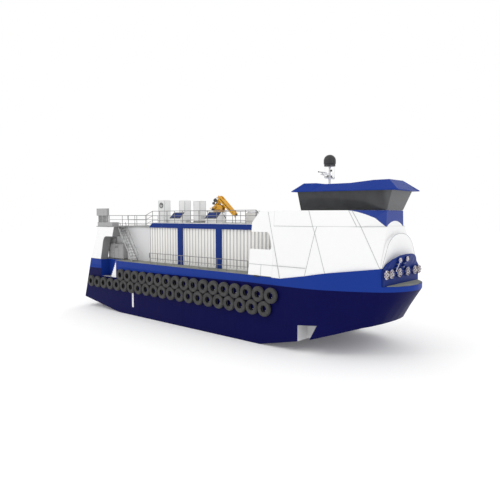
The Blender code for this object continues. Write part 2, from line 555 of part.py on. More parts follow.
# feed outlets: stub pipes on two headers tied by a riser
PLATE = [(-2.50, 5.18), (2.50, 5.18), (2.50, 5.42), (0.66, 5.42), (0.66, 5.50), (-0.66, 5.50), (-0.66, 5.42), (-2.50, 5.42)]
feed_outlets = outline("feed_outlets", [PLATE], "YZ", HOOD_X + 0.004, HOOD_X + 0.05, PIPE)
for n, (y, z) in enumerate(OUTLETS[:3], 1):
    for tag, s in SIDES:
        boolean(feed_outlets, rod(f"stub_{n}_{tag}", (HOOD_X + 0.03, s * y, z), (HOOD_X + 0.14, s * y, z), OUTLET_R, sides=12,
                                  cutter=True), "UNION")
# two upper outlets on the starboard side of the middle, on risers that follow the hood's rake
for n, (y, z, x_edge, z_edge) in enumerate(UPPER_OUTLETS, 1):
    rake = (x_edge - 31.12) / (z_edge - Z_HOOD_FOLD)
    dz = z + 0.10 - 5.50
    riser = [(HOOD_X + 0.008, 5.30), (HOOD_X + 0.05, 5.30), (HOOD_X + 0.088, 5.50), (HOOD_X + 0.090 + dz * rake, 5.50 + dz),
             (HOOD_X + 0.008 + dz * rake, 5.50 + dz), (HOOD_X + 0.008, 5.50)]
    boolean(feed_outlets, outline(f"riser_{n}", [riser], "XZ", y - 0.08, y + 0.08, cutter=True), "UNION")
    x_face = HOOD_X + 0.008 + (z - 5.50) * rake
    boolean(feed_outlets, rod(f"upper_stub_{n}", (x_face + 0.08, y, z), (x_face + 0.19, y, z), UPPER_OUTLET_R, sides=12, cutter=True), "UNION")

# ----------------------------------------------------------------- wheelhouse


def ring_at(low, high, z, inset):
    """Plan corners of the wheelhouse at height z, inset from the glass."""
    k = (z - WH_Z0) / (WH_Z1 - WH_Z0)
    (xa, ya), (xf, yf) = low
    (xa2, ya2), (xf2, yf2) = high
    if z < WH_Z0:
        k = 0.0
    xa, ya, xf, yf = xa + (xa2 - xa) * k, ya + (ya2 - ya) * k, xf + (xf2 - xf) * k, yf + (yf2 - yf) * k
    slope = (ya - yf) / (xf - xa)
    side = inset * hypot(1, slope)
    xa_, xf_ = xa + inset, xf - inset
    return [(xa_, -(ya - side - slope * inset), z), (xf_, -(yf - side + slope * inset), z),
            (xf_, yf - side + slope * inset, z), (xa_, ya - side - slope * inset, z)]


def shell_between(name, levels, inset0, inset1, mat):
    outer = loft(name, [ring_at(WH_LOW, WH_HIGH, z, inset0) for z in levels], mat)
    ext = [levels[0] - 0.2] + list(levels) + [levels[-1] + 0.2]
    rings = [ring_at(WH_LOW, WH_HIGH, min(max(z, levels[0]), levels[-1]), inset1) for z in ext]
    rings = [[(x, y, z) for x, y, _ in ring] for ring, z in zip(rings, ext)]
    inner = loft(name + "_inside", rings, cutter=True)
    return boolean(outer, inner)


wheelhouse_glass = shell_between("wheelhouse_glass", (WH_Z0, WH_Z1 - GAP), 0.0, GLASS_T, TINT)
wheelhouse_walls = shell_between("wheelhouse_walls", (Z_ROOF + GAP, WH_Z0, WH_Z1 - GAP), GLASS_T + 0.025, GLASS_T + 0.025 + WH_WALL,
                                 WHITE)
# windows cut in the side and front walls, behind the outer glass
(xa, ya), (xf, yf) = WH_LOW
for tag, s in SIDES:
    ang = atan2(ya - yf, xf - xa)
    length = hypot(ya - yf, xf - xa)
    pitch = (length - 0.5) / WH_WINDOWS
    for k in range(WH_WINDOWS):
        t = 0.25 + pitch * (k + 0.5)
        cut = box(f"window_{tag}_{k + 1}", (-pitch / 2 + 0.06, -0.45, 9.34), (pitch / 2 - 0.06, 0.45, 10.24), cutter=True)
        cut.location = (xa + t * cos(ang), s * (ya - t * sin(ang)), 0)
        cut.rotation_euler = (0, 0, -s * ang)
        boolean(wheelhouse_walls, cut)
for s, tag in ((-1, "stbd"), (1, "port")):
    boolean(wheelhouse_walls, box("front_window_" + tag, (30.2, min(s * 0.06, s * 0.98), 9.34), (31.6, max(s * 0.06, s * 0.98), 10.24),
                                  cutter=True))
# doorway in the aft wall, through wall and glass
doorway = box("wheelhouse_doorway", (24.6, -0.38, Z_ROOF + 0.08), (25.6, 0.38, Z_ROOF + 2.03), cutter=True)
boolean(wheelhouse_walls, doorway)
boolean(wheelhouse_glass, box("glass_doorway", (24.6, -0.44, WH_Z0 - 0.2), (25.25, 0.44, Z_ROOF + 2.09), cutter=True))
for s, tag in ((-1, "stbd"), (1, "port")):
    boolean(wheelhouse_walls, box("aft_window_" + tag, (24.6, min(s * 0.62, s * 2.2), 9.34), (25.6, max(s * 0.62, s * 2.2), 10.24),
                                  cutter=True))

# roof: eave ring, crown ring and a flat ceiling
roof_sections = []
for xe, ye, xc, yc, zc in ROOF:
    zb = WH_Z1 + 0.0
    roof_sections.append([(xe, -ye, zb), (xe, -ye, zb + ROOF_EDGE), (xc, -yc, zc), (xc, yc, zc), (xe, ye, zb + ROOF_EDGE), (xe, ye, zb)])
wheelhouse_roof = loft("wheelhouse_roof", roof_sections, BLUE)

helm_console = outline("helm_console", [[(29.30, Z_ROOF + GAP), (29.95, Z_ROOF + GAP), (29.95, 9.30), (29.72, 9.42), (29.20, 9.12),
                                         (29.20, 9.02), (29.30, 8.98)]], "XZ", -1.00, 1.00, DARK)
helm_chair = outline("helm_chair", [[(28.05, Z_ROOF + GAP), (28.55, Z_ROOF + GAP), (28.55, Z_ROOF + 0.06), (28.36, Z_ROOF + 0.06),
                                     (28.36, 8.58), (28.62, 8.60), (28.62, 8.72), (28.22, 8.72), (28.12, 9.42), (28.00, 9.42),
                                     (28.02, 8.60), (28.24, 8.58), (28.24, Z_ROOF + 0.06), (28.05, Z_ROOF + 0.06)]],
                     "XZ", -0.27, 0.27, DARK)

# --------------------------------------------------------------- mast, radar
mast = rod("mast", (MAST_X, 0, 10.9803), (MAST_X, 0, 12.2797), 0.085, WHITE, sides=12, r2=0.06)
bracket = box("radar_bracket", (RADAR[0] - 0.12, -0.07, RADAR[1] - 0.14), (MAST_X, 0.07, RADAR[1] - 0.07), cutter=True)
boolean(mast, bracket, "UNION")
boolean(mast, box("mast_foot", (MAST_X - 0.22, -0.22, 10.9803), (MAST_X + 0.22, 0.22, 11.01), cutter=True), "UNION")
boolean(mast, box("antenna_yard", (MAST_X - 0.045, -0.62, 11.42), (MAST_X + 0.045, 0.62, 11.50), cutter=True), "UNION")

bm = bmesh.new()
profile = [(0.0, 0.41), (0.16, 0.385), (0.30, 0.30), (0.39, 0.17), (0.425, 0.0), (0.425, -0.24), (0.39, -0.29), (0.39, -0.40), (0.0, -0.40)]
verts = [bm.verts.new((r, 0, z)) for r, z in profile]
for a_, b_ in zip(verts, verts[1:]):
    bm.edges.new((a_, b_))
me = bpy.data.meshes.new("mast_dome")
bm.to_mesh(me)
bm.free()
mast_dome = place(bpy.data.objects.new("mast_dome", me), DARK)
mast_dome.location = (MAST_X, 0, 12.68)
sc = mast_dome.modifiers.new("turn", "SCREW")
sc.steps = sc.render_steps = 16
sc.use_merge_vertices = True
sc.merge_threshold = 0.0001
sc.use_normal_calculate = True

radar_turn = bpy.data.objects.new("radar_turn", None)
radar_turn.location = (RADAR[0], 0, RADAR[1])
radar_turn.parent = midship
col.objects.link(radar_turn)
radar_scanner = box("radar_scanner", (-0.06, -0.50, 0.0), (0.06, 0.50, 0.09), WHITE, parent=radar_turn)
boolean(radar_scanner, rod("radar_hub", (0, 0, -0.062), (0, 0, 0.03), 0.05, sides=12, cutter=True, parent=radar_turn), "UNION")

# ---------------------------------------------- cabinets on the upper decks
for n, (x0, x1, z0, z1) in enumerate(CABINETS[:3], 1):
    cabinet = box(f"deck_cabinet_{n}", (x0, CABINET_Y[0], z0 + GAP), (x1, CABINET_Y[1], z1), WHITE)
    boolean(cabinet, box(f"cabinet_plinth_{n}", (x0 - 0.03, CABINET_Y[0] - 0.03, z0 + GAP), (x1 + 0.03, CABINET_Y[1] + 0.03, z0 + 0.08),
                         cutter=True), "UNION")

# ---------------------------------------------------------------------- crane
crane_pedestal = rod("crane_pedestal", (CRANE_X, 0, 8.2403), (CRANE_X, 0, CRANE["slew_z"] - 0.006), CRANE_BASE_R, WHITE, sides=20)
boolean(crane_pedestal, rod("pedestal_flange", (CRANE_X, 0, 8.2403), (CRANE_X, 0, 8.29), 0.54, sides=20, cutter=True), "UNION")

slew = bpy.data.objects.new("crane_slew", None)
slew.location = (CRANE_X, 0, CRANE["slew_z"])
slew.parent = midship
col.objects.link(slew)


def local(p, origin):
    """Point in the middle plane relative to a pivot."""
    return (p[0] - origin[0], p[1] - origin[1])


S0 = (CRANE_X, CRANE["slew_z"])
M, K, T = CRANE["main"], CRANE["knuckle"], CRANE["tip"]
mx, mz = local(M, S0)
lx, lz = local(LIFT["a"], S0)


def round_bar(a, b, ra, rb, n=5):
    """A tapered bar between two pins with round ends."""
    ang = atan2(b[1] - a[1], b[0] - a[0])
    pts = []
    for at, r, start in ((a, ra, ang + pi / 2), (b, rb, ang - pi / 2)):
        pts += [(at[0] + r * cos(start + pi * k / n), at[1] + r * sin(start + pi * k / n)) for k in range(n + 1)]
    return pts


def pivot_empty(name, p, parent, parent_point):
    e = bpy.data.objects.new(name, None)
    e.location = (p[0] - parent_point[0], 0, p[1] - parent_point[1])
    e.parent = parent
    col.objects.link(e)
    return e


# column: a turned foot and two cheeks that hold the main boom's pin and the lift cylinder's pin
crane_column = rod("crane_column", (0, 0, 0), (0, 0, 0.10), 0.50, YELLOW, sides=24, parent=slew)
CHEEK = [(-0.48, 0.05), (0.48, 0.05), (0.56, 0.16), (0.57, 0.36), (0.50, 0.47), (0.34, 0.54), (0.08, 0.57), (mx + 0.12, mz + 0.14),
         (mx - 0.10, mz + 0.14), (mx - 0.19, mz + 0.04), (-0.66, 0.38), (-0.70, 0.18)]
for tag, s in SIDES:
    boolean(crane_column, outline("cheek_" + tag, [CHEEK], "XZ", s * 0.130, s * 0.190, cutter=True, parent=slew), "UNION")
    boolean(crane_column, rod("pin_boss_" + tag, (mx, s * 0.12, mz), (mx, s * 0.24, mz), 0.08, sides=14, cutter=True, parent=slew),
            "UNION")

main_pivot = pivot_empty("main_boom_pivot", M, slew, S0)
crane_main_boom = outline("crane_main_boom", [round_bar((0, 0), local(K, M), BOOM["half_h"], BOOM["half_h"])], "XZ",
                          -BOOM["half_w"], BOOM["half_w"], YELLOW, parent=main_pivot)
knuckle_pivot = pivot_empty("knuckle_pivot", K, main_pivot, M)
tx, tz = local(T, K)
qx, qz = local(FOLD["b"], K)
L = hypot(tx, tz)
ux, uz = tx / L, tz / L
# ears on the main boom: above it for the fold barrel, below it for the lift rod
for tag, s in SIDES:
    for stem, pin in (("fold_ear_", FOLD["a"]), ("lift_ear_", LIFT["b"])):
        px, pz = local(pin, M)
        bx, bz = local(K, M)
        share = (px * bx + pz * bz) / (bx * bx + bz * bz)
        boolean(crane_main_boom, outline(stem + tag, [round_bar((px, pz), (bx * share + 0.01, bz * share), EAR["r"], 0.07)], "XZ",
                                         s * EAR["y0"], s * EAR["y1"], cutter=True, parent=main_pivot), "UNION")

crane_outer_boom = outline("crane_outer_boom", [round_bar((0, 0), (tx, tz), BOOM["root"], BOOM["end"])], "XZ", BOOM["cheek_in"], BOOM["cheek_out"],
                           YELLOW, parent=knuckle_pivot)
boolean(crane_outer_boom, outline("outer_cheek", [round_bar((0, 0), (tx, tz), BOOM["root"], BOOM["end"])], "XZ", -BOOM["cheek_out"],
                                  -BOOM["cheek_in"], cutter=True, parent=knuckle_pivot), "UNION")
for tag, s in SIDES:
    boolean(crane_outer_boom, outline("lever_" + tag, [round_bar((qx, qz), (0.0, 0.0), 0.05, 0.08)], "XZ", s * (BOOM["cheek_in"] + 0.002),
                                      s * (BOOM["cheek_out"] - 0.02), cutter=True, parent=knuckle_pivot), "UNION")
WEB, WEB_A, WEB_B = 0.36, 0.165, 0.115
boolean(crane_outer_boom, outline("outer_web", [[(ux * WEB - uz * WEB_A, uz * WEB + ux * WEB_A), (tx - uz * WEB_B, tz + ux * WEB_B),
                                                 (tx + uz * WEB_B, tz - ux * WEB_B), (ux * WEB + uz * WEB_A, uz * WEB - ux * WEB_A)]],
                                  "XZ", -0.15, 0.15, cutter=True, parent=knuckle_pivot), "UNION")
boolean(crane_outer_boom, rod("hook_shank", (tx - ux * 0.03, 0, tz - uz * 0.03), (tx, 0, tz - 0.22), 0.03, sides=10, cutter=True,
                              parent=knuckle_pivot), "UNION")
boolean(crane_outer_boom, rod("hook_plate", (tx, 0, tz - 0.24), (tx, 0, tz - 0.20), 0.09, sides=12, cutter=True, parent=knuckle_pivot),
        "UNION")


def cylinder_pair(stem, c, parent, parent_point):
    """Barrel on its pin at a, and a rod that reaches its eye at b."""
    piv = pivot_empty(stem + "_pivot", c["a"], parent, parent_point)
    dx, dz = local(c["b"], c["a"])
    full = hypot(dx, dz)
    ex, ez = dx / full, dz / full
    barrel = rod(stem + "_cylinder", (0, 0, 0), (ex * full * c["share"], 0, ez * full * c["share"]), c["barrel"], YELLOW, sides=14,
                 parent=piv)
    boolean(barrel, rod(stem + "_eye_a", (0, -c["eye_a"], 0), (0, c["eye_a"], 0), 0.042, sides=12, cutter=True, parent=piv), "UNION")
    boolean(barrel, rod(stem + "_bore", (ex * 0.052, 0, ez * 0.052), (ex * full, 0, ez * full), c["rod"] + 0.006, sides=14, cutter=True,
                        parent=piv))
    shaft = rod(stem + "_rod", (ex * c["start"], 0, ez * c["start"]), (ex * full, 0, ez * full), c["rod"], STEEL, sides=12, parent=piv)
    boolean(shaft, rod(stem + "_eye_b", (ex * full, -c["eye_b"], ez * full), (ex * full, c["eye_b"], ez * full), 0.038, sides=12,
                       cutter=True, parent=piv), "UNION")


cylinder_pair("lift", LIFT, slew, S0)
cylinder_pair("fold", FOLD, main_pivot, M)

# ---------------------------------------------------------------------- doors
# name, hinge x, hinge y, foot z, width to the free edge (signed y), height, side that opens
D = DOOR
for tag, s in SIDES:
    piv = bpy.data.objects.new("house_door_hinge_" + tag, None)
    y_in = HOUSE_DOOR_Y - D["width"] / 2 + D["clear"]
    piv.location = (HOUSE_AFT - 0.012, s * y_in, Z_DECK + D["sill"] + D["clear"])
    piv.parent = midship
    col.objects.link(piv)
    ys = sorted((0.0, s * (D["width"] - 2 * D["clear"])))
    box("house_door_" + tag, (0.0, ys[0], 0.0), (D["thick"], ys[1], D["height"] - 2 * D["clear"]), WHITE, parent=piv)

piv = bpy.data.objects.new("aft_door_hinge", None)
piv.location = (AFT["x0"] - 0.012, -0.42 + 0.012, Z_DECK + 0.03)
piv.parent = midship
col.objects.link(piv)
box("aft_door", (0.0, 0.0, 0.0), (0.05, 0.816, 2.00), WHITE, parent=piv)

piv = bpy.data.objects.new("wheelhouse_door_hinge", None)
piv.location = (25.10 + GLASS_T + 0.025 - 0.012, -0.38 + 0.012, Z_ROOF + 0.10)
piv.parent = midship
col.objects.link(piv)
box("wheelhouse_door", (0.0, 0.0, 0.0), (0.05, 0.736, 1.90), WHITE, parent=piv)
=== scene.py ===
"""Looks of the aquaculture feed boat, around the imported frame.

Lengths are metres. Every X in the tables is measured forward from the foot of
the transom, as in part.py, and is moved by MIDSHIP when an object is made.
"""
import random
from math import atan2, cos, floor, hypot, pi, radians, sin

import bmesh
import bpy
from mathutils import Matrix, Vector


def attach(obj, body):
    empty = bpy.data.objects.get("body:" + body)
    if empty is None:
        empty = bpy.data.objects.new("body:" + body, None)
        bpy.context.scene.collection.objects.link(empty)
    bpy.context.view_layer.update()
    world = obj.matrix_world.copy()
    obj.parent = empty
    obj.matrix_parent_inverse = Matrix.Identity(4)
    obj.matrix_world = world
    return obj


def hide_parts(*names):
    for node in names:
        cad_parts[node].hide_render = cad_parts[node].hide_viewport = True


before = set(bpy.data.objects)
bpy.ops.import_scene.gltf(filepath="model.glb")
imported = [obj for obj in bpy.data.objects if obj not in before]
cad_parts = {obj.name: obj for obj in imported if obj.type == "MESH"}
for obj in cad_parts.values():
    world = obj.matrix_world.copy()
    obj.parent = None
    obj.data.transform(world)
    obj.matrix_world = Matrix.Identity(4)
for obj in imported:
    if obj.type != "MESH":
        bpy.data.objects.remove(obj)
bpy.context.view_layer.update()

scene = bpy.context.scene
scene.view_settings.view_transform = "Standard"
random.seed(7)

MIDSHIP = -16.1
SIDES = (("stbd", -1), ("port", 1))
Z_DECK, Z_UPPER, Z_SILO, Z_ROOF = 4.75, 7.87, 8.24, 8.14

# ------------------------------------------------------------------ materials


def new_material(name):
    m = bpy.data.materials.new(name)
    m.use_nodes = True
    nt = m.node_tree
    return m, nt, nt.nodes["Principled BSDF"]


class Nodes:
    """Short names for wiring a node tree."""

    def __init__(self, nt):
        self.nt = nt
        self.geo = nt.nodes.new("ShaderNodeTexCoord")

    def link(self, a, b):
        self.nt.links.new(a, b)

    def coords(self, scale=(1, 1, 1)):
        mp = self.nt.nodes.new("ShaderNodeMapping")
        mp.inputs["Scale"].default_value = scale
        self.link(self.geo.outputs["Object"], mp.inputs["Vector"])
        return mp.outputs["Vector"]

    def noise(self, scale, detail=3.0, rough=0.5, stretch=(1, 1, 1)):
        n = self.nt.nodes.new("ShaderNodeTexNoise")
        n.inputs["Scale"].default_value = scale
        n.inputs["Detail"].default_value = detail
        n.inputs["Roughness"].default_value = rough
        self.link(self.coords(stretch), n.inputs["Vector"])
        return n.outputs["Fac"]

    def voronoi(self, scale, feature="F1", stretch=(1, 1, 1)):
        n = self.nt.nodes.new("ShaderNodeTexVoronoi")
        n.feature = feature
        n.inputs["Scale"].default_value = scale
        self.link(self.coords(stretch), n.inputs["Vector"])
        return n.outputs["Distance"]

    def ramp(self, fac, stops, interpolation="LINEAR"):
        r = self.nt.nodes.new("ShaderNodeValToRGB")
        r.color_ramp.interpolation = interpolation
        els = r.color_ramp.elements
        while len(els) < len(stops):
            els.new(0.5)
        for e, (pos, val) in zip(els, stops):
            e.position = pos
            e.color = (val, val, val, 1) if isinstance(val, (int, float)) else (*val, 1)
        self.link(fac, r.inputs["Fac"])
        return r.outputs["Color"]

    def map(self, fac, a0, a1, b0, b1, clamp=True):
        r = self.nt.nodes.new("ShaderNodeMapRange")
        r.clamp = clamp
        for key, val in zip(("From Min", "From Max", "To Min", "To Max"), (a0, a1, b0, b1)):
            r.inputs[key].default_value = val
        self.link(fac, r.inputs["Value"])
        return r.outputs["Result"]

    def math(self, op, a, b=None, clamp=False):
        n = self.nt.nodes.new("ShaderNodeMath")
        n.operation = op
        n.use_clamp = clamp
        for sock, val in zip(n.inputs, (a, b)):
            if val is None:
                continue
            if isinstance(val, (int, float)):
                sock.default_value = val
            else:
                self.link(val, sock)
        return n.outputs["Value"]

    def xyz(self):
        s = self.nt.nodes.new("ShaderNodeSeparateXYZ")
        self.link(self.geo.outputs["Object"], s.inputs["Vector"])
        return s.outputs["X"], s.outputs["Y"], s.outputs["Z"]

    def normal(self):
        g = self.nt.nodes.new("ShaderNodeNewGeometry")
        s = self.nt.nodes.new("ShaderNodeSeparateXYZ")
        self.link(g.outputs["Normal"], s.inputs["Vector"])
        return s.outputs["X"], s.outputs["Y"], s.outputs["Z"]

    def mix(self, fac, a, b, kind="MIX"):
        n = self.nt.nodes.new("ShaderNodeMix")
        n.data_type = "RGBA"
        n.blend_type = kind
        if isinstance(fac, (int, float)):
            n.inputs[0].default_value = fac
        else:
            self.link(fac, n.inputs[0])
        for idx, val in ((6, a), (7, b)):
            if isinstance(val, tuple):
                n.inputs[idx].default_value = (*val, 1)
            else:
                self.link(val, n.inputs[idx])
        return n.outputs[2]

    def bump(self, parts):
        """parts: (height socket, distance in metres); chained bumps."""
        last = None
        for height, distance in parts:
            b = self.nt.nodes.new("ShaderNodeBump")
            b.inputs["Strength"].default_value = 1.0
            b.inputs["Distance"].default_value = distance
            self.link(height, b.inputs["Height"])
            if last:
                self.link(last, b.inputs["Normal"])
            last = b.outputs["Normal"]
        return last

    def box_mask(self, x0, x1, y0, y1, z0, z1):
        """1 inside a box given in the boat's own X and in distance from the middle plane."""
        x, y, z = self.xyz()
        ay = self.math("ABSOLUTE", y)
        out = None
        for v, lo, hi in ((x, x0 + MIDSHIP, x1 + MIDSHIP), (ay, y0, y1), (z, z0, z1)):
            part = self.math("MULTIPLY", self.math("GREATER_THAN", v, lo), self.math("LESS_THAN", v, hi))
            out = part if out is None else self.math("MULTIPLY", out, part)
        return out


def shade(rgb, k):
    return tuple(min(1.0, c * k) for c in rgb)


def paint(name, rgb, rough=0.42, spec=0.3, vary=0.05, grime=0.06, grime_rgb=(0.30, 0.27, 0.22), wave=0.004, peel=0.00035,
          coat=0.0, second=None, third=None, rust=0.0):
    """Sprayed marine paint on plate: tone drift, run marks, orange peel and slightly wavy plate.

    second: (rgb, mask function) paints a second colour where the mask is 1."""
    m, nt, bsdf = new_material(name)
    n = Nodes(nt)
    tone = n.noise(0.45, 4.0)
    base = n.mix(tone, shade(rgb, 1 - vary), shade(rgb, 1 + vary))
    if second:
        base = n.mix(second[1](n), base, n.mix(tone, shade(second[0], 1 - vary), shade(second[0], 1 + vary)))
    if third:
        base = n.mix(third[1](n), base, n.mix(tone, shade(third[0], 1 - vary), shade(third[0], 1 + vary)))
    if grime:
        streak = n.ramp(n.noise(1.0, 5.0, 0.6, (5.0, 5.0, 0.45)), ((0.50, 0.0), (0.78, 1.0)))
        spots = n.ramp(n.noise(7.0, 3.0, 0.6), ((0.35, 0.2), (0.70, 1.0)))
        base = n.mix(n.math("MULTIPLY", n.math("MULTIPLY", streak, spots), grime), base, grime_rgb)
    if rust:
        chip = n.ramp(n.noise(3.1, 8.0, 0.72), ((0.70, 0.0), (0.745, 1.0)))
        base = n.mix(n.math("MULTIPLY", chip, rust), base, (0.16, 0.075, 0.035))
    n.link(base, bsdf.inputs["Base Color"])
    fine = n.noise(26.0, 3.0)
    n.link(n.map(fine, 0.3, 0.7, rough - 0.05, rough + 0.08), bsdf.inputs["Roughness"])
    bsdf.inputs["Specular IOR Level"].default_value = spec
    if coat:
        bsdf.inputs["Coat Weight"].default_value = coat
        bsdf.inputs["Coat Roughness"].default_value = 0.12
    n.link(n.bump([(n.noise(1.6, 2.0), wave), (n.noise(240.0, 2.0), peel)]), bsdf.inputs["Normal"])
    return m


def aft_band(n):
    """The blue band is deeper aft: its lower edge drops from the sheer amidships towards the stern."""
    x, y, z = n.xyz()
    edge = n.map(x, 1.0 + MIDSHIP, 22.0 + MIDSHIP, 3.84, 4.21)
    return n.math("GREATER_THAN", z, edge)


def portal_inside_painted_shade(n):
    """The portal leg's faces behind its outer skin, forward of the stern rake, are dark grey: painted shade between leg
    and house.
    """
    x, y, z = n.xyz()
    inner = n.math("LESS_THAN", n.math("ABSOLUTE", y), 4.322)
    rake = n.math("ADD", n.math("MULTIPLY", n.math("SUBTRACT", z, 4.75), 0.446), 1.45 + MIDSHIP)
    return n.math("MULTIPLY", inner, n.math("GREATER_THAN", x, rake))


def blue_chin(n):
    """Blue from the parapet's top down to a swept edge with two cusps at the front corners."""
    x, y, z = n.xyz()
    half = n.math("MULTIPLY", n.math("ABSOLUTE", y), 1 / 3.0)
    edge = ((0.0, 8.50), (0.30, 8.475), (0.62, 8.40), (0.95, 8.27), (1.20, 8.10), (1.40, 8.25), (1.62, 8.43), (1.90, 8.66), (2.22, 8.90),
            (2.50, 9.05), (2.78, 9.14), (3.0, 9.40))
    stops = tuple((hb / 3.0, (zb - 8.0) / 1.5) for hb, zb in edge)
    line = n.math("ADD", n.math("MULTIPLY", n.ramp(half, stops), 1.5), 8.0)
    return n.math("MULTIPLY", n.math("GREATER_THAN", n.math("SUBTRACT", z, line), 0.0), n.math("GREATER_THAN", x, 28.4 + MIDSHIP))


NAVY_RGB, BLUE_RGB, HOOD_RGB = (0.0035, 0.0038, 0.058), (0.009, 0.036, 0.250), (0.007, 0.024, 0.170)
WHITE_RGB, OFFWHITE_RGB, GREY_RGB = (0.86, 0.86, 0.86), (0.74, 0.74, 0.735), (0.33, 0.33, 0.33)

M = {}
M["navy"] = paint("hull_navy", NAVY_RGB, 0.42, 0.04, 0.06, 0.05, (0.05, 0.05, 0.08), 0.010, rust=0.06)
M["navy_mark"] = paint("hull_navy_with_draught_board", NAVY_RGB, 0.42, 0.04, 0.06, 0.05, (0.05, 0.05, 0.08), 0.010, rust=0.06,
                       second=((0.80, 0.80, 0.79), lambda n: n.box_mask(7.95, 8.19, 4.2, 4.5, 0.73, 1.99)), third=(BLUE_RGB, aft_band))
M["blue"] = paint("topside_blue", BLUE_RGB, 0.40, 0.08, 0.05, 0.04, (0.05, 0.06, 0.10), 0.006)
M["frame_blue"] = paint("silo_frame_blue", (0.008, 0.030, 0.185), 0.40, 0.08, 0.05, 0.04, (0.05, 0.06, 0.10), 0.004)
M["hood"] = paint("hood_blue", HOOD_RGB, 0.44, 0.10, 0.06, 0.05, (0.04, 0.04, 0.07), 0.005)
M["white"] = paint("house_white", WHITE_RGB, 0.40, 0.35, 0.015, 0.05, (0.52, 0.50, 0.45), 0.004)
M["chin"] = paint("parapet_white_and_blue", WHITE_RGB, 0.40, 0.3, 0.015, 0.03, (0.45, 0.44, 0.42), 0.004, second=(BLUE_RGB, blue_chin))
# aft house walls: white paint darkened to grey as painted shade under the upper deck's overhang
M["aft_wall_painted_shade"] = paint("aft_house_white_painted_shade", (0.66, 0.66, 0.67), 0.45, 0.3, 0.02, 0.07, (0.40, 0.38, 0.34), 0.004)
M["grey"] = paint("machinery_grey", GREY_RGB, 0.50, 0.3, 0.05, 0.10, (0.14, 0.12, 0.10), 0.003)
M["light"] = paint("cabinet_white", OFFWHITE_RGB, 0.45, 0.3, 0.02, 0.06, (0.45, 0.42, 0.38), 0.002)
M["bay"] = paint("bay_primer_grey", (0.62, 0.62, 0.63), 0.55, 0.25, 0.03, 0.10, (0.28, 0.25, 0.22), 0.004)
M["yellow"] = paint("crane_yellow", (0.74, 0.365, 0.014), 0.36, 0.35, 0.05, 0.08, (0.22, 0.12, 0.04), 0.001, coat=0.15)
M["seam"] = paint("seam_sealant", (0.42, 0.43, 0.44), 0.6, 0.2, 0.08, 0.0, wave=0.001)
# portal legs: white, with painted shade in dark grey on the inner faces
M["portal"] = paint("portal_white_with_painted_shade", WHITE_RGB, 0.42, 0.3, 0.02, 0.05, (0.45, 0.43, 0.40), 0.004, second=((0.24, 0.24, 0.24), portal_inside_painted_shade))
M["lid"] = paint("hatch_navy", (0.020, 0.028, 0.075), 0.40, 0.25, 0.06, 0.08, (0.10, 0.10, 0.11), 0.002)


def silo_sheet():
    """Coated trapezoidal sheet: lighter ribs, greyer pans whose grey is painted shade in the recesses, faint run marks.
    """
    m, nt, bsdf = new_material("silo_sheet_coated_pan_shade")
    n = Nodes(nt)
    x, y, z = n.xyz()
    depth = n.map(n.math("ABSOLUTE", y), 2.895, 2.945, 0.0, 1.0)
    tone = n.noise(0.8, 3.0, 0.5, (4.0, 1.0, 0.15))
    face = n.mix(tone, (0.80, 0.785, 0.76), (0.90, 0.885, 0.86))
    # the pans are painted darker grey: painted shade in the recesses of the sheet
    pan = n.mix(tone, (0.50, 0.50, 0.50), (0.62, 0.62, 0.61))
    base = n.mix(depth, pan, face)
    runs = n.ramp(n.noise(1.0, 5.0, 0.65, (7.0, 7.0, 0.3)), ((0.52, 0.0), (0.80, 1.0)))
    n.link(n.mix(n.math("MULTIPLY", runs, 0.22), base, (0.40, 0.38, 0.35)), bsdf.inputs["Base Color"])
    n.link(n.map(n.noise(12.0), 0.3, 0.7, 0.38, 0.55), bsdf.inputs["Roughness"])
    n.link(n.bump([(n.noise(180.0), 0.0004)]), bsdf.inputs["Normal"])
    bsdf.inputs["Specular IOR Level"].default_value = 0.3
    return m


def deck_paint(name, rgb):
    """Anti-slip deck coating: grit, scuffed lanes and damp patches."""
    m, nt, bsdf = new_material(name)
    n = Nodes(nt)
    worn = n.ramp(n.noise(0.9, 6.0, 0.62), ((0.35, 0.0), (0.70, 1.0)))
    base = n.mix(worn, shade(rgb, 0.86), shade(rgb, 1.12))
    grit = n.voronoi(95.0)
    n.link(n.mix(n.map(grit, 0.0, 0.5, 0.35, 0.0), base, shade(rgb, 0.45)), bsdf.inputs["Base Color"])
    n.link(n.map(worn, 0.0, 1.0, 0.92, 0.70), bsdf.inputs["Roughness"])
    n.link(n.bump([(n.noise(1.2), 0.004), (grit, 0.0022)]), bsdf.inputs["Normal"])
    bsdf.inputs["Specular IOR Level"].default_value = 0.25
    return m


def galvanised(name, rgb=(0.30, 0.30, 0.31), metal=0.55, rough=0.42):
    """Hot-dip galvanising: spangle cells with different grey and gloss."""
    m, nt, bsdf = new_material(name)
    n = Nodes(nt)
    cells = n.nt.nodes.new("ShaderNodeTexVoronoi")
    cells.inputs["Scale"].default_value = 38.0
    n.link(n.coords(), cells.inputs["Vector"])
    tone = n.math("MULTIPLY", cells.outputs["Color"], 1.0)
    n.link(n.mix(tone, shade(rgb, 0.82), shade(rgb, 1.18)), bsdf.inputs["Base Color"])
    n.link(n.map(tone, 0.0, 1.0, rough - 0.08, rough + 0.14), bsdf.inputs["Roughness"])
    n.link(n.bump([(n.noise(140.0), 0.0003)]), bsdf.inputs["Normal"])
    bsdf.inputs["Metallic"].default_value = metal
    return m


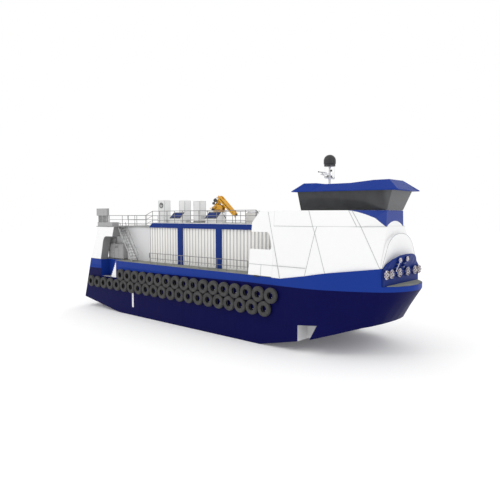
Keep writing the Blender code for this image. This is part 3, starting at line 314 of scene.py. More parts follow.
def rubber():
    """Old tyre rubber: greyed, dusty in the hollows, scuffed on the outer bulge."""
    m, nt, bsdf = new_material("tyre_rubber_weathered")
    n = Nodes(nt)
    dust = n.ramp(n.noise(2.6, 6.0, 0.65), ((0.32, 0.0), (0.72, 1.0)))
    base = n.mix(dust, (0.034, 0.034, 0.035), (0.078, 0.077, 0.075))
    scuff = n.ramp(n.noise(16.0, 5.0, 0.7, (1.0, 1.0, 3.0)), ((0.60, 0.0), (0.72, 1.0)))
    n.link(n.mix(n.math("MULTIPLY", scuff, 0.30), base, (0.16, 0.155, 0.15)), bsdf.inputs["Base Color"])
    n.link(n.map(dust, 0.0, 1.0, 0.72, 0.90), bsdf.inputs["Roughness"])
    n.link(n.bump([(n.noise(70.0, 4.0), 0.0012), (n.noise(8.0, 2.0), 0.004)]), bsdf.inputs["Normal"])
    bsdf.inputs["Specular IOR Level"].default_value = 0.3
    return m


def tinted_glass():
    """Dark sun-control glass: a faint gradient down the pane and a clean coat."""
    m, nt, bsdf = new_material("wheelhouse_tinted_glass")
    n = Nodes(nt)
    x, y, z = n.xyz()
    down = n.map(z, 9.18, 10.40, 0.0, 1.0)
    smear = n.noise(1.3, 4.0, 0.55, (1.0, 1.0, 0.5))
    front = n.map(x, 30.45 + MIDSHIP, 30.75 + MIDSHIP, 0.0, 1.0)
    base = n.mix(down, (0.052, 0.053, 0.056), (0.036, 0.037, 0.040))
    base = n.mix(front, base, (0.085, 0.087, 0.090))
    n.link(n.mix(n.map(smear, 0.4, 0.7, 0.0, 0.35), base, (0.075, 0.076, 0.080)), bsdf.inputs["Base Color"])
    n.link(n.map(smear, 0.3, 0.7, 0.10, 0.22), bsdf.inputs["Roughness"])
    bsdf.inputs["Specular IOR Level"].default_value = 0.28
    n.link(n.bump([(n.noise(0.9), 0.002)]), bsdf.inputs["Normal"])
    return m


def plastic(name, rgb, rough=0.5, spec=0.35):
    m, nt, bsdf = new_material(name)
    n = Nodes(nt)
    tone = n.noise(5.0, 4.0)
    n.link(n.mix(tone, shade(rgb, 0.85), shade(rgb, 1.15)), bsdf.inputs["Base Color"])
    n.link(n.map(n.noise(40.0), 0.3, 0.7, rough - 0.06, rough + 0.10), bsdf.inputs["Roughness"])
    n.link(n.bump([(n.noise(320.0), 0.0003)]), bsdf.inputs["Normal"])
    bsdf.inputs["Specular IOR Level"].default_value = spec
    return m


def steel(name, rgb, rough=0.25):
    m, nt, bsdf = new_material(name)
    n = Nodes(nt)
    lines = n.noise(30.0, 2.0, 0.5, (1.0, 1.0, 9.0))
    n.link(n.mix(lines, shade(rgb, 0.9), shade(rgb, 1.08)), bsdf.inputs["Base Color"])
    n.link(n.map(lines, 0.3, 0.7, rough - 0.06, rough + 0.10), bsdf.inputs["Roughness"])
    bsdf.inputs["Metallic"].default_value = 0.9
    n.link(n.bump([(lines, 0.0002)]), bsdf.inputs["Normal"])
    return m


def upholstery():
    m, nt, bsdf = new_material("seat_upholstery")
    n = Nodes(nt)
    grain = n.voronoi(160.0, "SMOOTH_F1")
    n.link(n.mix(n.noise(9.0, 4.0), (0.020, 0.022, 0.028), (0.042, 0.044, 0.052)), bsdf.inputs["Base Color"])
    n.link(n.map(grain, 0.0, 0.6, 0.50, 0.72), bsdf.inputs["Roughness"])
    bsdf.inputs["Sheen Weight"].default_value = 0.25
    n.link(n.bump([(grain, 0.0012), (n.noise(4.0), 0.006)]), bsdf.inputs["Normal"])
    return m


def silo_deck_paint():
    """Anti-slip grey on top; white deck edge and white hatch coamings."""
    m, nt, bsdf = new_material("silo_deck_and_coamings")
    n = Nodes(nt)
    x, y, z = n.xyz()
    nx, ny, nz = n.normal()
    white = n.math("MAXIMUM", n.math("GREATER_THAN", z, 8.262), n.math("LESS_THAN", nz, 0.6))
    worn = n.ramp(n.noise(0.9, 6.0, 0.62), ((0.35, 0.0), (0.70, 1.0)))
    grey = n.mix(worn, (0.27, 0.28, 0.27), (0.34, 0.35, 0.34))
    coat = n.mix(n.noise(0.7, 4.0), (0.80, 0.80, 0.79), (0.86, 0.86, 0.86))
    n.link(n.mix(white, grey, coat), bsdf.inputs["Base Color"])
    n.link(n.map(worn, 0.0, 1.0, 0.80, 0.62), bsdf.inputs["Roughness"])
    n.link(n.bump([(n.noise(1.4), 0.003), (n.noise(120.0), 0.0008)]), bsdf.inputs["Normal"])
    return m


M["silo_deck"] = silo_deck_paint()
M["silo"] = silo_sheet()
M["deck"] = deck_paint("deck_antislip", (0.262, 0.270, 0.240))
M["deck_upper"] = deck_paint("upper_deck_antislip", (0.30, 0.31, 0.30))
M["galv"] = galvanised("galvanised_tube", (0.20, 0.20, 0.205), 0.35)
M["galv_light"] = galvanised("galvanised_grating", (0.38, 0.38, 0.385), 0.4)
M["rubber"] = rubber()
M["glass"] = tinted_glass()
M["dark"] = plastic("dark_moulding", (0.032, 0.032, 0.035), 0.5)
M["dome"] = plastic("dome_moulding", (0.034, 0.034, 0.036), 0.42)
M["hose"] = plastic("hydraulic_hose", (0.020, 0.020, 0.021), 0.6)
M["pipe"] = plastic("feed_pipe_moulding", (0.56, 0.49, 0.50), 0.45)
M["pipe_rim"] = plastic("feed_pipe_end_ring", (0.80, 0.76, 0.80), 0.4)
M["rod"] = steel("chromed_rod", (0.70, 0.70, 0.72), 0.16)
M["stainless"] = steel("stainless_fitting", (0.55, 0.55, 0.56), 0.3)
M["seat"] = upholstery()
M["screen"] = plastic("display_glass", (0.012, 0.018, 0.026), 0.12, 0.5)
M["orange"] = plastic("lifebuoy_orange", (0.62, 0.12, 0.02), 0.5)

# --------------------------------------------------------------- mesh builder


class Build:
    """Collects shapes, given in the boat's X, as one mesh with several materials."""

    def __init__(self, *mats):
        self.mats = list(mats)
        self.v, self.f, self.mi, self.sm = [], [], [], []

    def add(self, verts, faces, mat=0, smooth=False):
        k = len(self.v)
        self.v += [tuple(p) for p in verts]
        for f in faces:
            self.f.append([k + i for i in f])
            self.mi.append(mat)
            self.sm.append(smooth)

    def box(self, lo, hi, mat=0, matrix=None):
        xs = [(lo[0], hi[0])[i] for i in (0, 1, 1, 0, 0, 1, 1, 0)]
        ys = [(lo[1], hi[1])[i] for i in (0, 0, 1, 1, 0, 0, 1, 1)]
        zs = [(lo[2], hi[2])[i] for i in (0, 0, 0, 0, 1, 1, 1, 1)]
        pts = [Vector(p) for p in zip(xs, ys, zs)]
        if matrix is not None:
            pts = [matrix @ p for p in pts]
        self.add(pts, ((3, 2, 1, 0), (4, 5, 6, 7), (0, 1, 5, 4), (1, 2, 6, 5), (2, 3, 7, 6), (3, 0, 4, 7)), mat)

    def sbox(self, x0, x1, y0, y1, z0, z1, side, mat=0):
        """A box on one side, y as distance from the middle plane."""
        a, b = sorted((side * y0, side * y1))
        self.box((x0, a, z0), (x1, b, z1), mat)

    def ring(self, centre, u, v, r, n):
        return [centre + (u * cos(2 * pi * k / n) + v * sin(2 * pi * k / n)) * r for k in range(n)]

    def tube(self, pts, r, n=8, mat=0, closed=False, caps=True):
        """A round tube along a polyline with mitred corners. r is one radius or one a point."""
        pts = [Vector(p) for p in pts]
        rad = r if isinstance(r, (list, tuple)) else [r] * len(pts)
        cnt = len(pts)
        dirs = []
        for i in range(cnt):
            a = pts[i - 1] if (i > 0 or closed) else None
            b = pts[(i + 1) % cnt] if (i < cnt - 1 or closed) else None
            d = Vector((0, 0, 0))
            if a is not None:
                d += (pts[i] - a).normalized()
            if b is not None:
                d += (b - pts[i]).normalized()
            dirs.append(d.normalized() if d.length > 1e-9 else (pts[i] - pts[i - 1]).normalized())
        first = (pts[1] - pts[0]).normalized()
        ref = Vector((0, 0, 1)) if abs(first.z) < 0.9 else Vector((1, 0, 0))
        u = first.cross(ref).normalized()
        rings = []
        for i, p in enumerate(pts):
            d = dirs[i]
            u = (u - d * u.dot(d)).normalized()
            w = d.cross(u).normalized()
            widen = 1.0
            if 0 < i < cnt - 1 or closed:
                seg = (pts[i] - pts[i - 1]).normalized()
                c = max(0.5, abs(seg.dot(d)))
                widen = 1.0 / c
            rings.append([p + (u * cos(2 * pi * k / n) + w * sin(2 * pi * k / n)) * rad[i] * (widen if widen < 1.3 else 1.15)
                          for k in range(n)])
        verts = [q for ring in rings for q in ring]
        faces = []
        spans = range(cnt if closed else cnt - 1)
        for i in spans:
            j = (i + 1) % cnt
            for k in range(n):
                kk = (k + 1) % n
                faces.append((i * n + k, i * n + kk, j * n + kk, j * n + k))
        self.add(verts, faces, mat, True)
        if caps and not closed:
            self.add(rings[0], (tuple(reversed(range(n))),), mat)
            self.add(rings[-1], (tuple(range(n)),), mat)

    def cyl(self, a, b, r, n=16, mat=0, r2=None, caps=True):
        self.tube([a, b], [r, r if r2 is None else r2], n, mat, caps=caps)

    def lathe(self, origin, axis, profile, n=24, mat=0, smooth=True, sweep=None):
        """Turns (radius, height) points about an axis from origin; ends closed when the radius is 0."""
        o, ax = Vector(origin), Vector(axis).normalized()
        ref = Vector((0, 0, 1)) if abs(ax.z) < 0.9 else Vector((1, 0, 0))
        u = ax.cross(ref).normalized()
        w = ax.cross(u).normalized()
        rows = []
        verts = []
        for r, h in profile:
            if r < 1e-6:
                rows.append([len(verts)])
                verts.append(o + ax * h)
            else:
                rows.append(list(range(len(verts), len(verts) + n)))
                verts += [o + ax * h + (u * cos(2 * pi * k / n) + w * sin(2 * pi * k / n)) * r for k in range(n)]
        faces = []
        for a, b in zip(rows, rows[1:]):
            for k in range(n):
                kk = (k + 1) % n
                if len(a) == 1 and len(b) == 1:
                    continue
                if len(a) == 1:
                    faces.append((a[0], b[kk], b[k]))
                elif len(b) == 1:
                    faces.append((a[k], a[kk], b[0]))
                else:
                    faces.append((a[k], a[kk], b[kk], b[k]))
        self.add(verts, faces, mat, smooth)

    def prism(self, pts, plane, w0, w1, mat=0):
        """A flat outline (u, v) given thickness along the plane's normal."""
        lay = {"XZ": lambda u, v, w: (u, w, v), "XY": lambda u, v, w: (u, v, w), "YZ": lambda u, v, w: (w, u, v)}[plane]
        n = len(pts)
        verts = [lay(u, v, w0) for u, v in pts] + [lay(u, v, w1) for u, v in pts]
        faces = [tuple(range(n - 1, -1, -1)), tuple(range(n, 2 * n))]
        faces += [(i, (i + 1) % n, n + (i + 1) % n, n + i) for i in range(n)]
        self.add(verts, faces, mat)

    def bar(self, a, b, width, height, mat=0, up=(0, 0, 1)):
        """A rectangular bar between two points."""
        a, b = Vector(a), Vector(b)
        d = (b - a).normalized()
        s = d.cross(Vector(up)).normalized() * (width / 2)
        t = s.cross(d).normalized() * (height / 2)
        v = [a - s - t, a + s - t, a + s + t, a - s + t, b - s - t, b + s - t, b + s + t, b - s + t]
        self.add(v, ((3, 2, 1, 0), (4, 5, 6, 7), (0, 1, 5, 4), (1, 2, 6, 5), (2, 3, 7, 6), (3, 0, 4, 7)), mat)

    def sheet(self, rows, thick, mat=0, smooth=False):
        """A plate between rows of points; thick is not used."""
        n = len(rows[0])
        verts = [Vector(p) for row in rows for p in row]
        faces = []
        for i in range(len(rows) - 1):
            for k in range(n - 1):
                faces.append((i * n + k, i * n + k + 1, (i + 1) * n + k + 1, (i + 1) * n + k))
        self.add(verts, faces, mat, smooth)

    def object(self, name, body="barge", replaces=(), slot=None, bevel=0.0, segments=2, angle=35, smooth_angle=None, weld=True):
        me = bpy.data.meshes.new(name)
        me.from_pydata([(x + MIDSHIP, y, z) for x, y, z in self.v], [], self.f)
        for m in self.mats:
            me.materials.append(m)
        for p, mi, sm in zip(me.polygons, self.mi, self.sm):
            p.material_index = mi
            p.use_smooth = sm
        bm = bmesh.new()
        bm.from_mesh(me)
        if weld:
            bmesh.ops.remove_doubles(bm, verts=bm.verts, dist=0.00002)
        bmesh.ops.recalc_face_normals(bm, faces=bm.faces)
        bm.to_mesh(me)
        bm.free()
        if smooth_angle is not None:
            me.shade_smooth()
            me.set_sharp_from_angle(angle=radians(smooth_angle))
        elif any(self.sm):
            me.set_sharp_from_angle(angle=radians(50))
        o = bpy.data.objects.new(name, me)
        scene.collection.objects.link(o)
        if bevel:
            b = o.modifiers.new("edges", "BEVEL")
            b.width = bevel
            b.segments = segments
            b.limit_method = "ANGLE"
            b.angle_limit = radians(angle)
            b.use_clamp_overlap = True
        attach(o, body)
        if replaces:
            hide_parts(*([replaces] if isinstance(replaces, str) else replaces))
        return o


def dress(node, mat, bevel=0.0, smooth=None):
    """A better material, and softened edges, on a CAD node that keeps its shape."""
    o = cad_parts[node]
    for s in o.material_slots:
        s.link = "OBJECT"
        s.material = mat
    if bevel:
        w = o.modifiers.new("join", "WELD")
        w.merge_threshold = 0.0004
        b = o.modifiers.new("edges", "BEVEL")
        b.width = bevel
        b.segments = 2
        b.limit_method = "ANGLE"
        b.angle_limit = radians(28)
        b.use_clamp_overlap = True
    return o


def lerp(a, b, t):
    return a + (b - a) * t


# --------------------------------------------------------------- CAD materials
DRESS = {
    "hull": ("navy_mark", 0.0), "upper_hull": ("blue", 0.0), "main_deck": ("deck", 0.004), "foredeck": ("deck", 0.01),
    "silo_frame_stbd": ("frame_blue", 0.006), "silo_frame_port": ("frame_blue", 0.006), "silo_top_deck": ("silo_deck", 0.004),
    "aft_house": ("aft_wall_painted_shade", 0.006), "aft_wing_stbd": ("portal", 0.012), "aft_wing_port": ("portal", 0.012),
    "aft_upper_deck": ("deck_upper", 0.008), "deckhouse": ("white", 0.0), "parapet": ("chin", 0.0), "nose_panel": ("white", 0.012),
    "bow_hood": ("hood", 0.012), "wheelhouse_walls": ("light", 0.0), "wheelhouse_glass": ("glass", 0.0), "wheelhouse_roof": ("blue", 0.0),
    "silo_block": ("silo", 0.0), "tyre_fenders_stbd": ("rubber", 0.0), "tyre_fenders_port": ("rubber", 0.0),
    "boarding_steps_stbd": ("white", 0.006), "boarding_steps_port": ("white", 0.006), "deck_stair_stbd": ("grey", 0.0),
    "deck_stair_port": ("grey", 0.0), "side_locker_stbd": ("grey", 0.01), "side_locker_port": ("grey", 0.01), "vent_box": ("grey", 0.01),
    "top_rail_stbd": ("galv", 0.0), "top_rail_port": ("galv", 0.0), "aft_rail": ("galv", 0.0), "walkway_rail_stbd": ("galv", 0.0),
    "walkway_rail_port": ("galv", 0.0), "feed_outlets": ("pipe", 0.0), "helm_console": ("dark", 0.01), "helm_chair": ("seat", 0.01),
    "mast": ("light", 0.0), "mast_dome": ("dome", 0.0), "radar_scanner": ("light", 0.01), "deck_cabinet_1": ("light", 0.01), "deck_cabinet_2": ("light", 0.01), "deck_cabinet_3": ("light", 0.01),
    "crane_pedestal": ("light", 0.0), "crane_column": ("yellow", 0.006), "crane_main_boom": ("yellow", 0.006),
    "crane_outer_boom": ("yellow", 0.006), "lift_cylinder": ("dark", 0.0), "lift_rod": ("rod", 0.0), "fold_cylinder": ("dark", 0.0),
    "fold_rod": ("rod", 0.0), "house_door_stbd": ("white", 0.006), "house_door_port": ("white", 0.006), "aft_door": ("white", 0.006),
    "wheelhouse_door": ("white", 0.006), "hatch_lid_stbd_1": ("lid", 0.006), "hatch_lid_stbd_2": ("lid", 0.006),
    "hatch_lid_port_1": ("lid", 0.006), "hatch_lid_port_2": ("lid", 0.006),
}
for node_name, (mat_name, width) in DRESS.items():
    if node_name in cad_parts:
        dress(node_name, M[mat_name], width)

# -------------------------------------------------------------- tyre fenders
TYRE_Y0, TYRE_Y1 = 4.388, 4.658
TYRE_ROWS = (("upper", 6.53, 24.03, 17, 3.500), ("lower", 1.535, 23.47, 21, 2.553))
# radius and distance from the tyre's middle plane, outer side first, then the lining
TYRE_PROFILE = ((0.244, 0.088), (0.237, 0.100), (0.249, 0.113), (0.285, 0.116), (0.300, 0.127), (0.372, 0.1335), (0.432, 0.1345),
                (0.472, 0.128), (0.484, 0.131), (0.508, 0.113), (0.528, 0.092), (0.537, 0.070), (0.538, 0.044), (0.523, 0.040),
                (0.523, 0.030), (0.538, 0.026))
TYRE_LINING = ((0.268, 0.084), (0.375, 0.112), (0.460, 0.112), (0.508, 0.075))
TYRE_SEGMENTS = 48


def tyre(b, cx, cy, cz, turn):
    ring = list(TYRE_PROFILE) + [(r, -w) for r, w in reversed(TYRE_PROFILE)]
    ring += [(r, -w) for r, w in TYRE_LINING] + [(r, w) for r, w in reversed(TYRE_LINING)]
    n, rows = TYRE_SEGMENTS, len(ring)
    verts, faces = [], []
    for k in range(n):
        a = turn + 2 * pi * k / n
        notch = k % 3 == 2
        for r, w in ring:
            if notch and r > 0.505 and abs(w) > 0.035:
                r -= 0.014
            verts.append((cx + r * cos(a), cy + w, cz + r * sin(a)))
    for k in range(n):
        kk = (k + 1) % n
        for i in range(rows):
            ii = (i + 1) % rows
            faces.append((k * rows + i, k * rows + ii, kk * rows + ii, kk * rows + i))
    b.add(verts, faces, 0, True)


for tag, s in SIDES:
    names = []
    for row, x0, x1, count, z in TYRE_ROWS:
        b = Build(M["rubber"])
        for k in range(count):
            tyre(b, x0 + (x1 - x0) * k / (count - 1), s * (TYRE_Y0 + TYRE_Y1) / 2, z, random.uniform(0, 0.3))
        b.object(f"tyres_{row}_{tag}", replaces="tyre_fenders_" + tag, slot="tyre_rubber", smooth_angle=38)
    # the flat rails that carry the tyres, with a strap and a through-bolt at each tyre
    b = Build(M["navy"], M["stainless"])
    for x0, x1, z in ((1.30, 23.75, 2.55), (6.30, 23.75, 3.50)):
        b.sbox(x0, x1, 4.352, 4.400, z - 0.06, z + 0.06, s)
    for x in (1.30, 6.30, 12.04, 17.78, 23.63):
        if x > 2:
            b.sbox(x, x + 0.12, 4.352, 4.392, 2.49, 3.56, s)
    for row, x0, x1, count, z in TYRE_ROWS:
        for k in range(count):
            x = x0 + (x1 - x0) * k / (count - 1)
            b.sbox(x - 0.05, x + 0.05, 4.400, 4.412, z - 0.22, z + 0.22, s)
            for dz in (-0.15, 0.15):
                b.cyl((x, s * 4.411, z + dz), (x, s * 4.440, z + dz), 0.020, 6, 1)
                b.cyl((x, s * 4.411, z + dz), (x, s * 4.418, z + dz), 0.032, 12, 1)
    b.object("fender_rails_" + tag, replaces="tyre_fenders_" + tag, slot="navy_paint", bevel=0.003, segments=1)

# ------------------------------------------------------------- silo cladding
RIB, DEPTH = 0.355, 0.055


def corrugated(b, x0, x1, y_face, side, z0, z1, mat=0):
    """Trapezoidal sheet: wide outer flats at y_face, pans DEPTH further in."""
    xs = []
    x = x0
    while x < x1 - 1e-6:
        for dx, inset in ((0.0, 0.0), (0.175, 0.0), (0.205, DEPTH), (0.325, DEPTH)):
            if x + dx < x1:
                xs.append((x + dx, inset))
        x += RIB
    xs.append((x1, 0.0))
    rows = [[(px, side * (y_face - inset), z) for px, inset in xs] for z in (z0, z1)]
    n = len(xs)
    verts = rows[0] + rows[1]
    faces = [(i, i + 1, n + i + 1, n + i) for i in range(n - 1)]
    if side > 0:
        faces = [tuple(reversed(f)) for f in faces]
    b.add(verts, faces, mat)


b = Build(M["silo"], M["light"])
for tag, s in SIDES:
    corrugated(b, 8.92, 23.78, 2.95, s, 4.86, 8.10)
    b.sbox(8.90, 23.80, 2.80, 2.890, 4.752, 8.20, s, 1)
    b.sbox(8.90, 23.80, 2.80, 2.949, 4.752, 4.862, s, 1)
    b.sbox(8.90, 23.80, 2.80, 2.949, 8.095, 8.20, s, 1)
b.box((8.90, -2.85, 4.752), (8.96, 2.85, 8.20), 1)
b.box((23.74, -2.85, 4.752), (23.80, 2.85, 8.20), 1)
silo = b.object("silo_cladding", replaces="silo_block", slot="silo_sheet", weld=False)

# ------------------------------------------------------------------- railings
POST_R, RAIL_R = 0.024, 0.021


def fence(name, posts, heights, feet, node, foot_mat=1, toe=None, ends=True):
    """posts: points on the deck; heights of the rails above it. Round posts on bolted plates."""
    b = Build(M["galv"], M["galv_light"])
    top = heights[-1]
    for i, p in enumerate(posts):
        p = Vector(p)
        b.cyl(p + Vector((0, 0, 0.008)), p + Vector((0, 0, top)), POST_R, 10)
        b.box((p.x - 0.055, p.y - 0.050, p.z + 0.001), (p.x + 0.055, p.y + 0.050, p.z + 0.010), foot_mat)
        b.box((p.x - 0.005, p.y - 0.036, p.z + 0.010), (p.x + 0.005, p.y + 0.036, p.z + 0.075), foot_mat)
        for dx in (-0.038, 0.038):
            for dy in (-0.034, 0.034):
                b.cyl((p.x + dx, p.y + dy, p.z + 0.010), (p.x + dx, p.y + dy, p.z + 0.020), 0.010, 6, 1)
    for h in heights:
        line = [Vector(p) + Vector((0, 0, h)) for p in posts]
        if h == top:
            b.tube(line, RAIL_R + 0.003, 10)
        else:
            b.tube(line, RAIL_R - 0.003, 8)
    if ends:
        # rounded end loops, top rail to middle rail
        for end, nxt in ((posts[0], posts[1]), (posts[-1], posts[-2])):
            e = Vector(end)
            d = (e - Vector(nxt))
            d.z = 0
            d.normalize()
            z_low = heights[-2]
            arc = [e + Vector((0, 0, top)), e + d * 0.06 + Vector((0, 0, top - 0.01)), e + d * 0.085 + Vector((0, 0, top - 0.05)),
                   e + d * 0.085 + Vector((0, 0, z_low + 0.05)), e + d * 0.06 + Vector((0, 0, z_low + 0.01)), e + Vector((0, 0, z_low))]
            b.tube(arc, RAIL_R, 8)
    return b.object(name, replaces=node, slot="galvanised_rail", smooth_angle=40)


TOP_POSTS = ((5.62, Z_UPPER), (6.95, Z_UPPER), (8.28, Z_UPPER)) + tuple((9.30 + k * 1.0083, Z_SILO) for k in range(13))
TOP_RAILS = (0.20, 0.60, 1.00)
for tag, s in SIDES:
    fence("top_railing_" + tag, [(x, s * 3.00, z) for x, z in TOP_POSTS], TOP_RAILS, True, "top_rail_" + tag)
    fence("walkway_railing_" + tag, [(10.55 + k * 1.015, s * 4.27, Z_DECK) for k in range(12)], (0.48, 0.92), True, "walkway_rail_" + tag)
fence("aft_railing", [(2.36, y, Z_UPPER) for y in (-2.95, -1.48, 0.0, 1.48, 2.95)], TOP_RAILS, True, "aft_rail", ends=False)


# ---------------------------------------------------------------------- hull
LOA, HALF_BEAM = 32.2, 4.35
BOW_PLAN = ((26.00, 4.35, 26.00, 4.35), (27.40, 4.20, 27.40, 4.18), (28.70, 3.76, 28.52, 3.68), (30.00, 3.17, 29.60, 3.02),
            (31.05, 2.50, 30.36, 2.30), (31.72, 1.74, 30.74, 1.58), (32.07, 0.90, 30.92, 0.80), (LOA, 0.00, 30.98, 0.00))
STERN_CUT = ((5.95, 0.0), (0.0, 0.87), (1.575, 5.87), (-3.0, 5.87), (-3.0, -1.0), (5.95, -1.0))
BOW_CUT = ((22.9, 0.0), (26.72, 0.86), (29.75, 1.84), (34.0, 2.88), (34.0, -1.0), (22.9, -1.0))
CHINE_BAY = ((26.12, -0.6), (26.12, 1.78), (27.47, 1.91), (26.16, -0.6))
SHEER_TOP = ((-1.0, 4.72), (21.84, 4.72), (24.64, 4.68), (26.60, 5.00), (27.93, 5.25), (30.93, 5.62), (31.0, 5.63))


def smooth_rows(pts, steps):
    """A curve through the points, as centripetal arcs, ends kept."""
    pts = [Vector(p) for p in pts]
    out = []
    for i in range(len(pts) - 1):
        p1, p2 = pts[i], pts[i + 1]
        p0 = pts[i - 1] if i else p1 - (p2 - p1)
        p3 = pts[i + 2] if i + 2 < len(pts) else p2 + (p2 - p1)
        for k in range(steps):
            t = k / steps
            m1 = (p2 - p0) * 0.5 * min(1.0, (p2 - p1).length / max(1e-6, (p2 - p0).length / 2))
            m2 = (p3 - p1) * 0.5 * min(1.0, (p2 - p1).length / max(1e-6, (p3 - p1).length / 2))
            h = (2 * t ** 3 - 3 * t ** 2 + 1, t ** 3 - 2 * t ** 2 + t, -2 * t ** 3 + 3 * t ** 2, t ** 3 - t ** 2)
            out.append(p1 * h[0] + m1 * h[1] + p2 * h[2] + m2 * h[3])
    return out + [pts[-1]]


def bow_curve(kind, inset=0.0, steps=5):
    """Starboard half of a plan line, aft to forward, as x, half breadth."""
    rows = [(r[0], r[1]) if kind == "sheer" else (r[2], r[3]) for r in BOW_PLAN]
    full = [(24.6, HALF_BEAM, 0)] + [(x, y, 0) for x, y in rows] + [(rows[-2][0], -rows[-2][1], 0)]
    if kind == "low":
        pts = [Vector(p).lerp(Vector(q), k / steps) for p, q in zip(full[1:-2], full[2:-1]) for k in range(steps)] + [Vector(full[-2])]
    else:
        pts = smooth_rows(full, steps)[steps:-steps]
    out = []
    for i, p in enumerate(pts):
        a, b = pts[max(0, i - 1)], pts[min(len(pts) - 1, i + 1)]
        d = (b - a).normalized() if (b - a).length else Vector((1, 0, 0))
        if i == len(pts) - 1:
            d = Vector((0, -1, 0))
        out.append((min(p.x, LOA) + d.y * inset, max(0.0, p.y - d.x * inset)))
    return out


def plan_ring(half, z, x_aft=0.0):
    stbd = [(x_aft, -HALF_BEAM, z)] + [(x, -y, z) for x, y in half]
    port = [(x, y, z) for x, y in reversed(half[:-1])] + [(x_aft, HALF_BEAM, z)]
    return stbd + port


def skin(b, rings, mat=0, caps=True):
    n = len(rings[0])
    verts = [p for ring in rings for p in ring]
    faces = []
    for i in range(len(rings) - 1):
        for k in range(n):
            kk = (k + 1) % n
            faces.append((i * n + k, i * n + kk, (i + 1) * n + kk, (i + 1) * n + k))
    if caps:
        faces += [tuple(range(n - 1, -1, -1)), tuple(range((len(rings) - 1) * n, len(rings) * n))]
    b.add(verts, faces, mat)


def raw(b, name):
    """The shape as an object that rides on nothing: a cutter."""
    me = bpy.data.meshes.new(name)
    me.from_pydata([(x + MIDSHIP, y, z) for x, y, z in b.v], [], b.f)
    for m in b.mats:
        me.materials.append(m)
    for p, mi in zip(me.polygons, b.mi):
        p.material_index = mi
    bm = bmesh.new()
    bm.from_mesh(me)
    bmesh.ops.remove_doubles(bm, verts=bm.verts, dist=0.00002)
    bmesh.ops.recalc_face_normals(bm, faces=bm.faces)
    bm.to_mesh(me)
    bm.free()
    o = bpy.data.objects.new(name, me)
    scene.collection.objects.link(o)
    return o


def carve(obj, cutters, smooth_angle=30, op="DIFFERENCE"):
    """Cuts the cutters out of an object for good; cut faces keep the cutter's material."""
    for c in cutters:
        m = obj.modifiers.new("cut", "BOOLEAN")
        m.operation = op
        m.object = c
        m.solver = "EXACT"
        m.material_mode = "TRANSFER"
    bpy.context.view_layer.update()
    me = bpy.data.meshes.new_from_object(obj.evaluated_get(bpy.context.evaluated_depsgraph_get()))
    obj.modifiers.clear()
    old = obj.data
    obj.data = me
    bpy.data.meshes.remove(old)
    for c in cutters:
        bpy.data.objects.remove(c, do_unlink=True)
    me.shade_smooth()
    me.set_sharp_from_angle(angle=radians(smooth_angle))
    return obj


def cutter(pts, plane, w0, w1, mat, name="cutter"):
    c = Build(mat)
    c.prism(pts, plane, w0, w1)
    return raw(c, name)


def cut_box(lo, hi, mat, name="cutter"):
    c = Build(mat)
    c.box(lo, hi)
    return raw(c, name)


low, sheer = bow_curve("low"), bow_curve("sheer")
b = Build(M["navy_mark"], M["navy"], M["bay"])
mid = [[(lerp(a[0], c[0], t), lerp(a[1], c[1], t)) for a, c in zip(low, sheer)] for t in (0.0, 1 / 3, 2 / 3, 1.0)]
foot = [(lerp(a[0], c[0], -0.413), max(0.0, lerp(a[1], c[1], -0.413))) for a, c in zip(low, sheer)]   # the rake carried on below
skin(b, [plan_ring(foot, 0.0), plan_ring(foot, 1.60), plan_ring(low, 2.36)] + [plan_ring(m, 2.36 + 1.84 * t) for m, t in
                                                                          zip(mid[1:], (1 / 3, 2 / 3, 1.0))])
cuts = [cutter(STERN_CUT, "XZ", -6, 6, M["navy"]), cutter(BOW_CUT, "XZ", -6, 6, M["navy"])]
for tag, s in SIDES:
    cuts.append(cut_box((3.03, min(s * 3.45, s * 6), 3.15), (5.51, max(s * 3.45, s * 6), 5.2), M["blue"]))
    cuts.append(cutter(CHINE_BAY, "XZ", min(s * 3.25, s * 6), max(s * 3.25, s * 6), M["bay"]))
carve(b.object("hull_shell", replaces="hull", slot="navy_paint"), cuts, 24)

b = Build(M["blue"], M["deck"])
skin(b, [plan_ring(sheer, 4.2003), plan_ring(sheer, 5.0), plan_ring(sheer, 5.80)])
inner = [(24.90, 4.23, 0), (26.00, 4.23, 0), (27.35, 4.08, 0), (28.62, 3.65, 0), (29.90, 3.07, 0), (30.90, 2.47, 0), (31.10, 2.34, 0)]
inner = [(p.x, p.y) for p in smooth_rows(inner, 4)]
room = Build(M["deck"])
skin(room, [[(x, -y, z) for x, y in inner] + [(x, y, z) for x, y in reversed(inner)] for z in (4.72, 7.0)])
sheer_cut = list(SHEER_TOP) + [(31.0, 4.53), (34.0, 4.53), (34.0, 7.0), (-1.0, 7.0)]
cuts = [cutter(STERN_CUT, "XZ", -6, 6, M["blue"]), cutter(sheer_cut, "XZ", -6, 6, M["blue"]), raw(room, "room")]
for tag, s in SIDES:
    cuts.append(cut_box((3.03, min(s * 3.45, s * 6), 3.15), (5.51, max(s * 3.45, s * 6), 5.2), M["blue"]))
carve(b.object("upper_hull_shell", replaces="upper_hull", slot="blue_paint"), cuts, 24)

